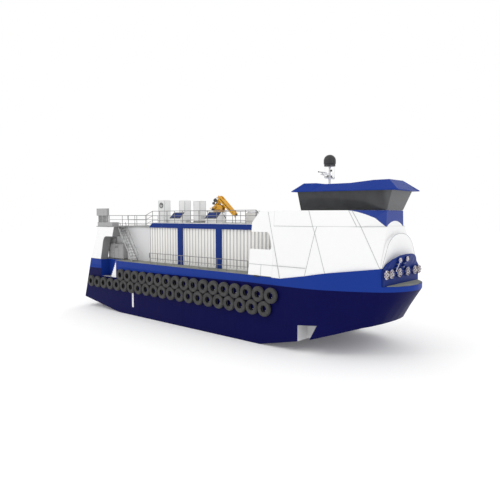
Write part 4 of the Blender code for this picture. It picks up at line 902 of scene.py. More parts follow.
# weld lines between hull strakes, and the flat bar along the deck edge
b = Build(M["navy"], M["blue"])
for tag, s in SIDES:
    for x in (3.2, 9.0, 14.8, 20.6, 25.2):
        z0 = 0.12 if x > 5.95 else 0.87 * (5.95 - x) / 5.95 + 0.12
        z0 = max(z0, 0.86 * (x - 22.9) / 3.82 + 0.12) if x > 22.9 else z0
        if x != 3.2:
            b.tube([(x, s * 4.350, z0), (x, s * 4.350, 1.95)], 0.007, 6)
    b.tube([(1.0, s * 4.350, 1.62), (25.9, s * 4.350, 1.62)], 0.007, 6)
    b.tube([(5.56, s * 4.352, 4.714), (21.84, s * 4.352, 4.714)], 0.016, 8, 1)
    b.tube([(1.25, s * 4.352, 4.714), (2.9, s * 4.352, 4.714)], 0.016, 8, 1)
b.object("hull_weld_lines", slot="navy_paint")

# ----------------------------------------------------------- deckhouse seams
SEAM_R = 0.017
side_y = lambda z: 4.349 - 0.08997 * (z - 4.75)
KNUCKLE = ((23.90, 4.045, 8.141), (27.00, 4.000, 8.141), (29.72, 2.812, 8.141), (30.69, 1.240, 8.141))
SEAMS = (
    ((24.64, side_y(4.70), 4.70), (24.12, side_y(6.46), 6.46), (23.60, side_y(8.20), 8.20), (23.34, side_y(9.08), 9.08)),  # house to wing
    ((26.60, 4.300, 5.02), (27.17, 4.030, 7.74), (27.00, 4.000, 8.14)),              # facet edges
    ((27.93, 4.030, 5.27), (27.17, 4.030, 7.74), (27.27, 3.950, 8.14)),
    ((30.90, 2.602, 5.64), (29.72, 2.812, 8.14)),
    ((22.98, side_y(4.76), 4.76), (22.98, side_y(5.50), 5.50)),
    ((21.90, side_y(5.50), 5.50), (26.66, 4.292, 5.50)),
    ((29.72, 2.806, 8.14), (29.03, 2.720, 9.155)),
    ((29.49, 2.906, 8.14), (28.84, 2.800, 9.155)),
    ((27.00, 4.004, 8.14), (26.56, 3.815, 9.155)),
)
for tag, s in SIDES:
    b = Build(M["seam"])
    for line in SEAMS + (KNUCKLE,):
        b.tube([(x, s * y, z) for x, y, z in line], SEAM_R, 6)
    b.object("panel_seams_" + tag, slot="white_paint")

# parapet: plated bulwark with a rail cap, following the deckhouse's facets
PARAPET = ((23.90, 4.040, 23.90, 3.945), (27.00, 3.995, 26.56, 3.808), (29.72, 2.800, 29.03, 2.713), (30.60, 1.235, 30.60, 1.150))
PLATE_Z = (8.1405, 9.1600)
b = Build(M["chin"])
loop_low = [(xf, -yf) for xf, yf, _, _ in PARAPET] + [(xf, yf) for xf, yf, _, _ in reversed(PARAPET)]
loop_top = [(xh, -yh) for _, _, xh, yh in PARAPET] + [(xh, yh) for _, _, xh, yh in reversed(PARAPET)]


def inset_line(pts, d):
    """The line moved d towards the middle of the boat."""
    out = []
    for k, (x, y) in enumerate(pts):
        dirs = []
        for a, c in ((k - 1, k), (k, k + 1)):
            if 0 <= a and c < len(pts):
                v = Vector((pts[c][0] - pts[a][0], pts[c][1] - pts[a][1])).normalized()
                dirs.append(Vector((-v.y, v.x)))
        n = sum(dirs, Vector((0, 0))).normalized()
        w = d / max(0.5, n.dot(dirs[0]))
        out.append((x + n.x * w, y + n.y * w))
    return out


rings = []
for pts, z in ((loop_low, PLATE_Z[0]), (loop_top, PLATE_Z[1])):
    rings.append(([(x, y, z) for x, y in pts], [(x, y, z) for x, y in inset_line(pts, 0.045)]))
cnt = len(loop_low)
(lo_out, lo_in), (hi_out, hi_in) = rings
faces = []
for k in range(cnt - 1):
    a, c = k, k + 1
    faces += [(a, c, cnt * 2 + c, cnt * 2 + a), (cnt + c, cnt + a, cnt * 3 + a, cnt * 3 + c),
              (cnt * 2 + a, cnt * 2 + c, cnt * 3 + c, cnt * 3 + a), (c, a, cnt + a, cnt + c)]
faces += [(0, cnt * 2, cnt * 3, cnt), (cnt - 1, cnt * 2 - 1, cnt * 4 - 1, cnt * 3 - 1)]
b.add(lo_out + lo_in + hi_out + hi_in, faces)
b.object("parapet_plating", replaces="parapet", slot="white_paint")

# nose outline and the join between nose and hood
NOSE = ((2.55, 5.6403), (1.86, 6.86), (1.62, 7.16), (1.22, 7.44), (0.70, 7.63), (0.0, 7.71))
b = Build(M["seam"])
arc = [(31.006, -y, z) for y, z in NOSE] + [(31.006, y, z) for y, z in reversed(NOSE[:-1])]
arc = [tuple(p) for p in smooth_rows(arc, 4)]
b.tube([(x, y * 0.995, min(z, 7.70)) for x, y, z in arc], 0.015, 6)
b.object("nose_seam", slot="white_paint")

# ---------------------------------------------------------------- feed outlets
HOOD_EDGE = ((2.52, 31.13, 5.55), (2.20, 31.14, 5.80), (1.79, 31.28, 6.05), (1.11, 31.46, 6.29), (0.45, 31.54, 6.37))
LOWER_OUTLETS = ((0.59, 5.26), (1.70, 5.26), (2.37, 5.26))
UPPER_OUTLETS = ((-1.12, 6.09, 31.46, 6.29), (-0.21, 6.13, 31.54, 6.37))
ROSETTE_R, PIPE_R, PIPES = 0.168, 0.060, 7


def rosette(b, base, axis, reach, turn=0.0, size=1.0):
    """A ring of open pipe ends around one in the middle, on a round bolted plate."""
    base, ax = Vector(base), Vector(axis).normalized()
    u = ax.cross(Vector((0, 0, 1))).normalized()
    w = ax.cross(u).normalized()
    b.lathe(base, ax, tuple((r * size, h) for r, h in ((0.0, 0.004), (0.240, 0.004), (0.246, 0.009), (0.246, 0.022), (0.240, 0.028), (0.0, 0.028))),
            28, 3)
    spots = [(0.0, 0.0, 1.15)] + [(ROSETTE_R * cos(turn + 2 * pi * k / PIPES), ROSETTE_R * sin(turn + 2 * pi * k / PIPES), 1.0)
                                  for k in range(PIPES)]
    for i, (du, dw, wide) in enumerate(spots):
        c = base + u * du * size + w * dw * size
        r = PIPE_R * size * wide
        long = reach * (0.86 if i % 2 else 1.0)
        b.lathe(c, ax, ((r, 0.02), (r, long - 0.035), (r + 0.010, long - 0.033), (r + 0.010, long - 0.002),
                        (r + 0.004, long), (r - 0.012, long), (r - 0.014, long - 0.004)), 14, 1 if i % 2 else 0)
        # near-black bore and floor inside each open end: painted shade inside the pipe
        b.lathe(c, ax, ((r - 0.014, long - 0.004), (r - 0.016, long - 0.075), (0.0, long - 0.075)), 14, 2)
    for k in range(PIPES):
        a = turn + pi / PIPES + 2 * pi * k / PIPES
        c = base + u * (0.222 * size * cos(a)) + w * (0.222 * size * sin(a))
        b.cyl(c + ax * 0.026, c + ax * 0.040, 0.012, 6, 4)


b = Build(M["pipe_rim"], M["pipe"], M["hose"], M["hood"], M["stainless"])
for tag, s in SIDES:
    for i, (y, z) in enumerate(LOWER_OUTLETS):
        rosette(b, (31.192, s * y, z), (1, 0, 0), 0.115, 0.2 * i, 1.18)
b.box((31.146, -2.50, 5.17), (31.19, 2.50, 5.35), 3)
for z in (5.19, 5.33):
    for k in range(11):
        b.cyl((31.19, -2.3 + 0.46 * k + 0.12, z), (31.20, -2.3 + 0.46 * k + 0.12, z), 0.016, 6, 4)
for k, (y, z, xe, ze) in enumerate(UPPER_OUTLETS):
    rake = (xe - 31.12) / (ze - 5.45)
    x_face = 31.148 + (z - 5.50) * rake
    rosette(b, (x_face + 0.075, y, z), (1, 0, 0), 0.110, 0.3, 0.66)
    b.lathe((x_face + 0.01, y, z), (1, 0, 0), ((0.0, 0.0), (0.13, 0.0), (0.13, 0.07), (0.0, 0.07)), 20, 3)
    # the riser behind it: a blue box trunk that follows the rake, with one bare pipe on the outer one
    top = (31.215 + (z - 0.10 - 5.50) * rake, y, z - 0.10)
    b.tube([(31.19, y, 5.30), (31.20, y, 5.46), top], 0.062, 12, 3)
    if k == 0:
        b.tube([(31.225, y + 0.115, 5.36), (31.235, y + 0.115, 5.47), (31.235 + (z - 0.16 - 5.50) * rake, y + 0.115, z - 0.16)], 0.034, 10, 0)
    for zz in (5.60, 5.85):
        xx = 31.148 + (zz - 5.50) * rake
        b.box((xx, y - 0.10, zz - 0.015), (xx + 0.125, y + 0.16, zz + 0.015), 4)
b.object("feed_pipe_rosettes", replaces="feed_outlets", slot="outlet_pipe", smooth_angle=35)

# hood: edge bar
b = Build(M["hood"])
edge = [(x - 0.05, -y, z) for y, x, z in HOOD_EDGE] + [(x - 0.05, y, z) for y, x, z in reversed(HOOD_EDGE)]
b.tube([tuple(p) for p in smooth_rows(edge, 3)], 0.052, 10)
b.object("hood_edge_bar", slot="blue_paint")

# ----------------------------------------------------------------- deck stairs
STAIR = dict(x_top=5.44, x_bottom=7.54, y0=3.36, y1=4.00, steps=12)
for tag, s in SIDES:
    b = Build(M["grey"], M["galv_light"], M["galv"], M["dark"])
    t = STAIR
    rise, run = (Z_UPPER - Z_DECK) / t["steps"], (t["x_bottom"] - t["x_top"]) / t["steps"]
    for y0, y1, mat in ((t["y0"], t["y0"] + 0.035, 1), (t["y1"] - 0.035, t["y1"], 1)):
        side = [(t["x_top"] - 0.02, Z_UPPER - 0.08), (t["x_top"] + 0.05, Z_UPPER - 0.08), (t["x_bottom"] + 0.02, Z_DECK + rise * 0.45),
                (t["x_bottom"] + 0.02, Z_DECK + 0.004), (t["x_bottom"] - 0.06, Z_DECK + 0.004), (t["x_top"] - 0.02, Z_UPPER - rise * 0.75)]
        ys = sorted((s * y0, s * y1))
        b.prism(side, "XZ", ys[0], ys[1], mat)
    for k in range(1, t["steps"] + 1):
        x, z = t["x_top"] + run * (k - 0.5), Z_UPPER - rise * k + rise * 0.92
        if z < Z_DECK + 0.12:
            continue
        b.sbox(x - 0.09, x + 0.12, t["y0"] + 0.035, t["y1"] - 0.035, z - 0.034, z - 0.008, s, 1)
        b.sbox(x - 0.095, x + 0.128, t["y1"] - 0.040, t["y1"] + 0.004, z - 0.045, z + 0.001, s, 0)
        b.sbox(x + 0.105, x + 0.128, t["y0"] + 0.035, t["y1"] - 0.035, z - 0.040, z + 0.001, s, 0)
        for m in range(5):
            y = lerp(t["y0"] + 0.08, t["y1"] - 0.08, m / 4)
            b.sbox(x - 0.08, x + 0.10, y - 0.006, y + 0.006, z - 0.008, z - 0.002, s, 1)
    for y in (t["y0"] + 0.018, t["y1"] - 0.018):
        up = 0.80
        line = [(t["x_top"] + 0.16 + run * k, s * y, Z_UPPER - rise * k + up - 0.30) for k in (0.5, 4.2, 8.0, 11.2)]
        b.tube(line + [(line[-1][0] + 0.06, line[-1][1], line[-1][2] - 0.16)], 0.017, 8, 2)
        for x, yy, z in line:
            b.cyl((x, yy, z - up + 0.12), (x, yy, z), 0.014, 8, 2)
    b.object("deck_stair_steps_" + tag, replaces="deck_stair_" + tag, slot="grey_paint", smooth_angle=40)

# ------------------------------------------------------------- boarding steps
STEPS = dict(x_top=5.49, x_bottom=4.62, y0=3.52, y1=4.28, steps=8, z0=3.15, z1=4.70)
for tag, s in SIDES:
    b = Build(M["white"], M["galv_light"], M["galv"])
    t = STEPS
    rise, run = (t["z1"] - t["z0"]) / t["steps"], (t["x_top"] - t["x_bottom"]) / t["steps"]
    for y0, y1 in ((t["y0"], t["y0"] + 0.03), (t["y1"] - 0.03, t["y1"])):
        saw = [(t["x_top"], t["z0"] + 0.002), (t["x_bottom"], t["z0"] + 0.002)]
        for k in range(t["steps"]):
            saw += [(t["x_bottom"] + run * k, t["z0"] + rise * (k + 1)), (t["x_bottom"] + run * (k + 1), t["z0"] + rise * (k + 1))]
        ys = sorted((s * y0, s * y1))
        b.prism(saw, "XZ", ys[0], ys[1])
    for k in range(t["steps"]):
        x, z = t["x_bottom"] + run * k, t["z0"] + rise * (k + 1)
        b.sbox(x - 0.004, min(x + run + 0.05, t["x_top"]), t["y0"] + 0.03, t["y1"] - 0.03, z - 0.025, z - 0.004, s, 0)
        b.sbox(x - 0.006, x + 0.016, t["y0"] + 0.03, t["y1"] - 0.03, z - 0.030, z + 0.002, s, 1)
    b.sbox(t["x_top"] - 0.012, t["x_top"], t["y0"] + 0.03, t["y1"] - 0.03, t["z0"] + 0.002, t["z1"], s, 0)
    # grating on the recess floor
    b.sbox(3.40, t["x_bottom"] - 0.03, 3.60, 4.34, 3.152, 3.166, s, 0)
    for m in range(14):
        x = 3.44 + m * 0.086
        b.sbox(x, x + 0.016, 3.62, 4.33, 3.166, 3.182, s, 1)
    for z in (3.75, 4.35):
        b.tube([(5.10, s * 3.49, z - 0.12), (5.10, s * 3.545, z - 0.12), (5.10, s * 3.545, z + 0.12), (5.10, s * 3.49, z + 0.12)], 0.012, 8, 2)
    b.object("boarding_ladder_" + tag, replaces="boarding_steps_" + tag, slot="white_paint", smooth_angle=40)

# ----------------------------------------------- lockers, vent box and cabinets


def door_leaf(b, x, y0, y1, z0, z1, face, mat=0, metal=1, hinge=-1):
    """A shallow door on a wall that faces along Y: raised leaf, gasket step, hinges and a lever. x is (x0, x1)."""
    f = 1 if y1 > y0 else -1
    x0, x1 = x
    b.box((x0, min(y0, y1), z0), (x1, max(y0, y1), z1), mat)
    e = y1 + f * 0.006
    b.box((x0 + 0.05, min(y1, e), z0 + 0.05), (x1 - 0.05, max(y1, e), z1 - 0.05), mat)
    hx = x0 + 0.01 if hinge < 0 else x1 - 0.01
    for k in (0.15, 0.85):
        z = lerp(z0, z1, k)
        b.cyl((hx, e, z - 0.05), (hx, e, z + 0.05), 0.011, 8, metal)
    lx = x1 - 0.09 if hinge < 0 else x0 + 0.09
    zm = lerp(z0, z1, 0.5)
    b.cyl((lx, e, zm), (lx, e + f * 0.022, zm), 0.022, 12, metal)
    b.tube([(lx, e + f * 0.018, zm), (lx, e + f * 0.018, zm - 0.11)], 0.009, 8, metal)


for tag, s in SIDES:
    b = Build(M["grey"], M["stainless"], M["dark"])
    b.sbox(3.05, 5.34, 2.9603, 3.395, 4.752, 6.165, s)
    b.sbox(3.03, 5.36, 2.9603, 3.42, 6.165, 6.20, s)
    b.sbox(3.05, 5.34, 2.9603, 3.40, 4.752, 4.83, s, 2)
    b.sbox(2.60, 3.60, 2.9603, 3.22, 6.20, 6.73, s)
    b.sbox(2.585, 3.615, 2.9603, 3.24, 6.73, 6.76, s)
    b.sbox(2.60, 3.049, 2.9603, 3.22, 4.752, 6.20, s)
    for k in range(3):
        x0 = 3.10 + k * 0.75
        door_leaf(b, (x0, x0 + 0.70), s * 3.395, s * 3.409, 4.88, 6.10, s, 0, 1, -1 if k < 2 else 1)
    for k in range(6):
        z = 5.80 + k * 0.040
        b.sbox(3.95, 4.45, 3.413, 3.420, z, z + 0.012, s, 2)
    b.object("side_locker_detail_" + tag, replaces="side_locker_" + tag, slot="grey_paint", bevel=0.005, segments=2, smooth_angle=35)

VENT_GREY = paint("vent_grey", (0.36, 0.36, 0.365), 0.50, 0.3, 0.04, 0.10, (0.14, 0.12, 0.10), 0.002)
b = Build(VENT_GREY, M["dark"], M["stainless"])
b.box((2.50, -4.32, 7.872), (4.96, -3.60, 8.215))
b.box((2.49, -4.325, 8.205), (4.97, -3.595, 8.24))
for k in range(4):
    x0 = 2.56 + k * 0.60
    b.box((x0, -4.330, 7.93), (x0 + 0.54, -4.318, 8.17))
    b.cyl((x0 + 0.27, -4.330, 8.05), (x0 + 0.27, -4.345, 8.05), 0.018, 10, 2)
# louvred trunk: frame, a dark inner wall behind the slats as painted shade inside the trunk, and slats all round
b.box((2.60, -4.255, 8.24), (3.98, -4.10, 8.86), 1)
for x0, x1 in ((2.56, 2.62), (3.24, 3.30), (3.96, 4.02)):
    b.box((x0, -4.28, 8.24), (x1, -4.08, 8.86))
for k in range(11):
    z = 8.275 + k * 0.052
    for x0, x1 in ((2.62, 3.24), (3.30, 3.96)):
        b.add([(x0, -4.282, z), (x1, -4.282, z), (x1, -4.250, z + 0.040), (x0, -4.250, z + 0.040),
               (x0, -4.282, z - 0.006), (x1, -4.282, z - 0.006), (x1, -4.250, z + 0.034), (x0, -4.250, z + 0.034)],
              ((0, 1, 2, 3), (7, 6, 5, 4), (0, 4, 5, 1), (1, 5, 6, 2), (2, 6, 7, 3), (3, 7, 4, 0)))
# head box with a rolled lip and bolted seams
b.box((2.31, -4.30, 8.85), (4.09, -4.06, 9.50))
b.box((2.305, -4.308, 9.495), (4.095, -4.052, 9.53))
b.box((2.305, -4.308, 8.85), (4.095, -4.052, 8.88))
for x in (2.90, 3.50):
    b.box((x - 0.02, -4.306, 8.88), (x + 0.02, -4.298, 9.495))
for k in range(9):
    for z in (8.865, 9.512):
        b.cyl((2.40 + k * 0.20, -4.306, z), (2.40 + k * 0.20, -4.314, z), 0.010, 6, 2)
b.object("vent_housing", replaces="vent_box", slot="grey_paint", bevel=0.004, segments=2, smooth_angle=35)

for n, (x0, x1, z0, z1) in enumerate(((4.81, 5.72, 7.87, 10.39), (8.02, 8.80, 7.87, 10.31), (10.08, 10.92, 8.24, 10.22)), 1):
    b = Build(M["white"], M["stainless"], M["dark"], M["seam"])
    b.box((x0 - 0.03, 1.12, z0 + 0.002), (x1 + 0.03, 1.93, z0 + 0.08), 2)
    b.box((x0, 1.15, z0 + 0.08), (x1, 1.90, z1 - 0.05))
    b.box((x0 - 0.022, 1.128, z1 - 0.055), (x1 + 0.022, 1.922, z1 - 0.015))
    b.box((x0 - 0.008, 1.142, z1 - 0.016), (x1 + 0.008, 1.908, z1))
    # doors on the starboard face, edge lines, louvres forward
    door_leaf(b, (x0 + 0.05, x1 - 0.05), 1.15, 1.136, z0 + 0.16, z1 - 0.95 if n == 1 else z1 - 0.12, -1, 0, 1)
    for k in range(7):
        z = z0 + 0.30 + 0.045 * k
        b.box((x1, 1.28, z), (x1 + 0.012, 1.77, z + 0.016), 3)
    b.box((x1, 1.22, z0 + 0.75), (x1 + 0.010, 1.83, z1 - 0.12))
    for zz in (z0 + 0.95, z1 - 0.32):
        b.cyl((x1 + 0.012, 1.26, zz - 0.05), (x1 + 0.012, 1.26, zz + 0.05), 0.011, 8, 1)
    b.cyl((x1 + 0.010, 1.76, (z0 + z1) / 2), (x1 + 0.026, 1.76, (z0 + z1) / 2), 0.020, 12, 1)
    for xx, yy in ((x0, 1.15), (x1, 1.15), (x1, 1.90), (x0, 1.90)):
        b.box((xx - 0.012, yy - 0.012, z0 + 0.08), (xx + 0.012, yy + 0.012, z1 - 0.055), 3)
    if n == 1:
        # round fan in a ring, with blades and a wire guard
        c = Vector((5.27, 1.15, 9.88))
        ax = Vector((0, -1, 0))
        b.lathe(c, ax, ((0.27, 0.0), (0.27, 0.05), (0.245, 0.06), (0.235, 0.05), (0.235, 0.004), (0.0, 0.004)), 32, 2)
        for k in range(6):
            a0 = 2 * pi * k / 6
            v = []
            for r, da, h in ((0.055, -0.5, 0.040), (0.055, 0.5, 0.014), (0.22, 0.22, 0.010), (0.22, -0.30, 0.042)):
                v.append(c + ax * h + Vector((cos(a0 + da), 0, sin(a0 + da))) * r)
            b.add(v + [p + ax * 0.004 for p in v], ((0, 1, 2, 3), (7, 6, 5, 4), (0, 4, 5, 1), (1, 5, 6, 2), (2, 6, 7, 3), (3, 7, 4, 0)), 0)
        b.lathe(c, ax, ((0.0, 0.052), (0.055, 0.050), (0.062, 0.040), (0.062, 0.004)), 20, 1)
        for r in (0.10, 0.15, 0.20):
            b.tube([c + ax * 0.062 + Vector((cos(2 * pi * k / 28), 0, sin(2 * pi * k / 28))) * r for k in range(28)], 0.004, 5, 1, closed=True)
        for k in range(4):
            a0 = pi / 4 + pi * k / 2
            d = Vector((cos(a0), 0, sin(a0)))
            b.tube([c + ax * 0.063 + d * 0.06, c + ax * 0.063 + d * 0.255], 0.005, 5, 1)
    b.object(f"cabinet_{n}", replaces=f"deck_cabinet_{n}", slot="white_paint", bevel=0.006, segments=2, smooth_angle=35)

# ------------------------------------------------------------------ hatch lids
HATCH_X, SLOPE = (11.42, 15.80), atan2(0.46, 0.48)
SLEN = hypot(0.48, 0.46)
for tag, s in SIDES:
    for n, hx in enumerate(HATCH_X, 1):
        cx = hx + 0.64
        org = Vector((cx, s * (2.24 + 0.035 * sin(SLOPE) + 0.01), 9.08 + 0.035 * cos(SLOPE)))
        down = Vector((0, s * cos(SLOPE), -sin(SLOPE)))
        out = Vector((0, s * sin(SLOPE), cos(SLOPE)))
        frame_m = Matrix(((1, 0, 0, org.x), (0, down.y, out.y, org.y), (0, down.z, out.z, org.z), (0, 0, 0, 1)))
        b = Build(M["lid"], M["frame_blue"], M["stainless"], M["dark"])
        L = SLEN + 0.02
        b.box((-0.66, 0.0, -0.022), (0.66, L, -0.004), 3, frame_m)
        b.box((-0.655, 0.004, -0.004), (0.655, L - 0.004, 0.012), 0, frame_m)
        for x0, x1, y0, y1 in ((-0.66, 0.66, 0.0, 0.055), (-0.66, 0.66, L - 0.055, L), (-0.66, -0.605, 0.0, L), (0.605, 0.66, 0.0, L)):
            b.box((x0, y0, -0.004), (x1, y1, 0.026), 0, frame_m)
        for x0, x1 in ((-0.585, -0.02), (0.02, 0.585)):
            b.box((x0 + 0.02, 0.125, 0.010), (x1 - 0.02, L - 0.125, 0.018), 1, frame_m)
        for dx in (-0.42, 0.42):
            b.tube([frame_m @ Vector((dx - 0.06, L - 0.035, 0.026)), frame_m @ Vector((dx - 0.06, L - 0.035, 0.045)),
                    frame_m @ Vector((dx + 0.06, L - 0.035, 0.045)), frame_m @ Vector((dx + 0.06, L - 0.035, 0.026))], 0.006, 8, 2)
            b.tube([frame_m @ Vector((dx - 0.07, 0.006, 0.006)), frame_m @ Vector((dx + 0.07, 0.006, 0.006))], 0.012, 10, 2)
        b.object(f"hatch_cover_{tag}_{n}", body=f"hatch_lid_{tag}_{n}", replaces=f"hatch_lid_{tag}_{n}", slot="blue_paint",
                 bevel=0.004, segments=2, smooth_angle=35)

# ----------------------------------------------------------------------- crane
CX, SLEW_Z = 14.60, 9.20
MP, KP, TP = Vector((14.36, 0, 9.66)), Vector((14.80, 0, 10.33)), Vector((16.50, 0, 8.95))
b = Build(M["light"], M["stainless"], M["dark"])
b.lathe((CX, 0, 8.241), (0, 0, 1), ((0.0, 0.0), (0.54, 0.0), (0.54, 0.046), (0.40, 0.052), (0.385, 0.080), (0.38, 0.82), (0.42, 0.86), (0.44, 0.885),
                                    (0.44, 0.940), (0.43, 0.950), (0.0, 0.950)), 40)
for k in range(12):
    a0 = 2 * pi * k / 12
    d = Vector((cos(a0), sin(a0), 0))
    b.cyl(Vector((CX, 0, 8.286)) + d * 0.475, Vector((CX, 0, 8.315)) + d * 0.475, 0.020, 6, 1)
    b.cyl(Vector((CX, 0, 9.10)) + d * 0.445, Vector((CX, 0, 9.165)) + d * 0.445, 0.013, 6, 2)
    if k % 3 == 0:
        e = Vector((-d.y, d.x, 0)) * 0.008
        v = [Vector((CX, 0, 8.29)) + d * 0.375, Vector((CX, 0, 8.29)) + d * 0.52, Vector((CX, 0, 8.62)) + d * 0.375]
        b.add([q - e for q in v] + [q + e for q in v], ((0, 1, 2), (5, 4, 3), (0, 3, 4, 1), (1, 4, 5, 2), (2, 5, 3, 0)), 0)
b.object("crane_pedestal_detail", replaces="crane_pedestal", slot="white_paint", smooth_angle=35)

b = Build(M["yellow"], M["dark"], M["stainless"], M["hose"])
b.lathe((CX, 0, 9.2005), (0, 0, 1), ((0.0, 0.0), (0.49, 0.0), (0.50, 0.008), (0.50, 0.060), (0.485, 0.075), (0.36, 0.098), (0.0, 0.098)), 40)
CHEEK = [(-0.48, 0.05), (0.48, 0.05), (0.56, 0.16), (0.57, 0.36), (0.50, 0.47), (0.34, 0.54), (0.08, 0.57), (-0.12, 0.60),
         (-0.34, 0.60), (-0.43, 0.50), (-0.66, 0.38), (-0.70, 0.18)]
for s in (-1, 1):
    ys = sorted((s * 0.130, s * 0.186))
    b.prism([(CX + x, SLEW_Z + z) for x, z in CHEEK], "XZ", ys[0], ys[1])
    # doubler plate, pins with keepers, lift lug
    inner = [(CX + 0.86 * (x + 0.05) - 0.05, SLEW_Z + 0.33 + 0.80 * (z - 0.33)) for x, z in CHEEK]
    ys = sorted((s * 0.185, s * 0.196))
    b.prism(inner, "XZ", ys[0], ys[1])
    b.cyl((MP.x, s * 0.12, MP.z), (MP.x, s * 0.238, MP.z), 0.078, 24)
    b.cyl((MP.x, s * 0.238, MP.z), (MP.x, s * 0.250, MP.z), 0.046, 16, 2)
    b.cyl((14.98, s * 0.125, 9.40), (14.98, s * 0.215, 9.40), 0.055, 20)
    b.cyl((14.98, s * 0.215, 9.40), (14.98, s * 0.226, 9.40), 0.034, 16, 2)
for k in range(14):
    a0 = 2 * pi * (k + 0.5) / 14
    d = Vector((cos(a0), sin(a0), 0))
    if abs(0.46 * d.y) > 0.22:
        b.cyl(Vector((CX, 0, 9.270)) + d * 0.455, Vector((CX, 0, 9.300)) + d * 0.455, 0.017, 6, 1)
# valve block and its levers on the starboard cheek, aft corner, and the hook-shaped hand lever
b.box((CX - 0.62, -0.29, 9.30), (CX - 0.40, -0.197, 9.47), 1)
for k in range(4):
    x = CX - 0.60 + 0.055 * k
    b.tube([(x, -0.285, 9.46), (x - 0.02, -0.315, 9.58)], 0.007, 6, 2)
    b.lathe((x - 0.021, -0.317, 9.585), (0, 0, 1), ((0.0, -0.014), (0.013, -0.006), (0.013, 0.006), (0.0, 0.014)), 10, 1)
b.tube([(CX - 0.64, -0.16, 9.42), (CX - 0.80, -0.16, 9.40), (CX - 0.90, -0.16, 9.44), (CX - 0.93, -0.16, 9.52)], 0.028, 10, 0)
b.box((CX - 0.36, -0.31, 9.30), (CX + 0.30, -0.197, 9.345), 1)
b.tube([(CX - 0.45, -0.25, 9.40), (CX - 0.20, -0.27, 9.44), (CX - 0.10, -0.25, 9.56), (CX - 0.14, -0.215, 9.66)], 0.016, 8, 3)
b.object("crane_column_detail", body="crane_column", replaces="crane_column", slot="crane_paint", bevel=0.006, segments=2, smooth_angle=35)


def between(a, c, t, off=0.0, y=0.0):
    """A point a share t of the way from a to c, moved off the line by off (up and aft) and to y."""
    d = (c - a).normalized()
    n = Vector((-d.z, 0, d.x))
    q = a + (c - a) * t + n * off
    q.y = y
    return q


b = Build(M["yellow"], M["dark"], M["stainless"], M["hose"])
# hose reels on the starboard side of the main boom, on a bracket
for c, r, w in ((Vector((14.42, -0.205, 10.15)), 0.155, 0.13), (Vector((14.21, -0.205, 9.90)), 0.115, 0.11)):
    ax = Vector((0, -1, 0))
    b.lathe(c, ax, ((0.0, 0.0), (r, 0.0), (r, 0.016), (r * 0.62, 0.018), (r * 0.80, 0.024), (r * 0.86, w / 2), (r * 0.80, w - 0.024), (r * 0.62, w - 0.018),
                    (r, w - 0.016), (r, w), (r * 0.3, w), (r * 0.26, w + 0.014), (0.0, w + 0.014)), 28, 1)
    for k in range(5):
        a0 = 2 * pi * k / 5
        q = c + ax * w + Vector((cos(a0), 0, sin(a0))) * r * 0.62
        b.cyl(q, q + ax * 0.006, r * 0.12, 10, 2)
b.tube([(14.42, -0.206, 10.15), (14.42, -0.150, 10.15), (14.50, -0.101, 10.02)], 0.030, 10, 0)
b.tube([(14.42, -0.222, 10.15), (14.21, -0.222, 9.90)], 0.016, 10, 0)
b.tube([(14.42, -0.30, 10.28), (14.55, -0.26, 10.36), (14.70, -0.215, 10.42)], 0.014, 8, 3)
b.tube([(14.31, -0.28, 9.94), (14.40, -0.27, 10.00)], 0.014, 8, 3)
# stiffening rib along the boom and its end caps
b.bar(between(MP, KP, 0.10, 0.104, 0.0), between(MP, KP, 0.62, 0.104, 0.0), 0.12, 0.008, 0, up=(0, 1, 0))
for s in (-1, 1):
    b.cyl((KP.x, s * 0.187, KP.z), (KP.x, s * 0.215, KP.z), 0.070, 24, 0)
    b.cyl((KP.x, s * 0.215, KP.z), (KP.x, s * 0.226, KP.z), 0.042, 16, 2)
b.object("main_boom_detail", body="main_boom", slot="crane_paint", smooth_angle=35)

b = Build(M["yellow"], M["dark"], M["stainless"], M["hose"], M["rod"])
d = (TP - KP).normalized()
# side flanges and the ram that pays out the inner section, under the boom
for s in (-1, 1):
    for off0, off1 in ((0.185, 0.125), (-0.185, -0.125)):
        b.tube([between(KP, TP, 0.10, off0, s * 0.150), between(KP, TP, 0.98, off1, s * 0.150)], 0.012, 8, 0)
b.cyl(between(KP, TP, 0.17, -0.235), between(KP, TP, 0.62, -0.200), 0.042, 18, 1)
b.cyl(between(KP, TP, 0.62, -0.200), between(KP, TP, 0.645, -0.198), 0.052, 18, 1)
b.cyl(between(KP, TP, 0.645, -0.198), between(KP, TP, 0.90, -0.180), 0.024, 14, 4)
for t0, off in ((0.185, -0.233), (0.90, -0.180)):
    q = between(KP, TP, t0, off)
    b.cyl((q.x, -0.07, q.z), (q.x, 0.07, q.z), 0.040, 16, 0)
    b.bar(q, between(KP, TP, t0, -0.10), 0.09, 0.05, 0, up=(0, 1, 0))
# end frame of the outer section and the dark inner section's nose
b.tube([between(KP, TP, 0.90, 0.150, -0.195), between(KP, TP, 0.90, -0.150, -0.195), between(KP, TP, 0.90, -0.150, 0.195),
        between(KP, TP, 0.90, 0.150, 0.195)], 0.014, 8, 0, closed=True)
q0, q1 = between(KP, TP, 0.955, -0.010), between(KP, TP, 1.045, -0.010)
b.bar(q0, q1, 0.210, 0.190, 1, up=(0, 1, 0))
for s in (-1, 1):
    b.tube([between(KP, TP, 0.06, 0.05, s * 0.205), between(KP, TP, 0.35, 0.03, s * 0.200), between(KP, TP, 0.80, 0.02, s * 0.197)], 0.010, 8, 3)
    b.tube([between(KP, TP, 0.06, 0.01, s * 0.205), between(KP, TP, 0.35, -0.01, s * 0.200), between(KP, TP, 0.80, -0.02, s * 0.197)], 0.010, 8, 3)
    for t0 in (0.22, 0.45, 0.70):
        q = between(KP, TP, t0, 0.01, s * 0.198)
        b.bar(q + Vector((0, 0, -0.05)), q + Vector((0, 0, 0.05)), 0.03, 0.030, 2)
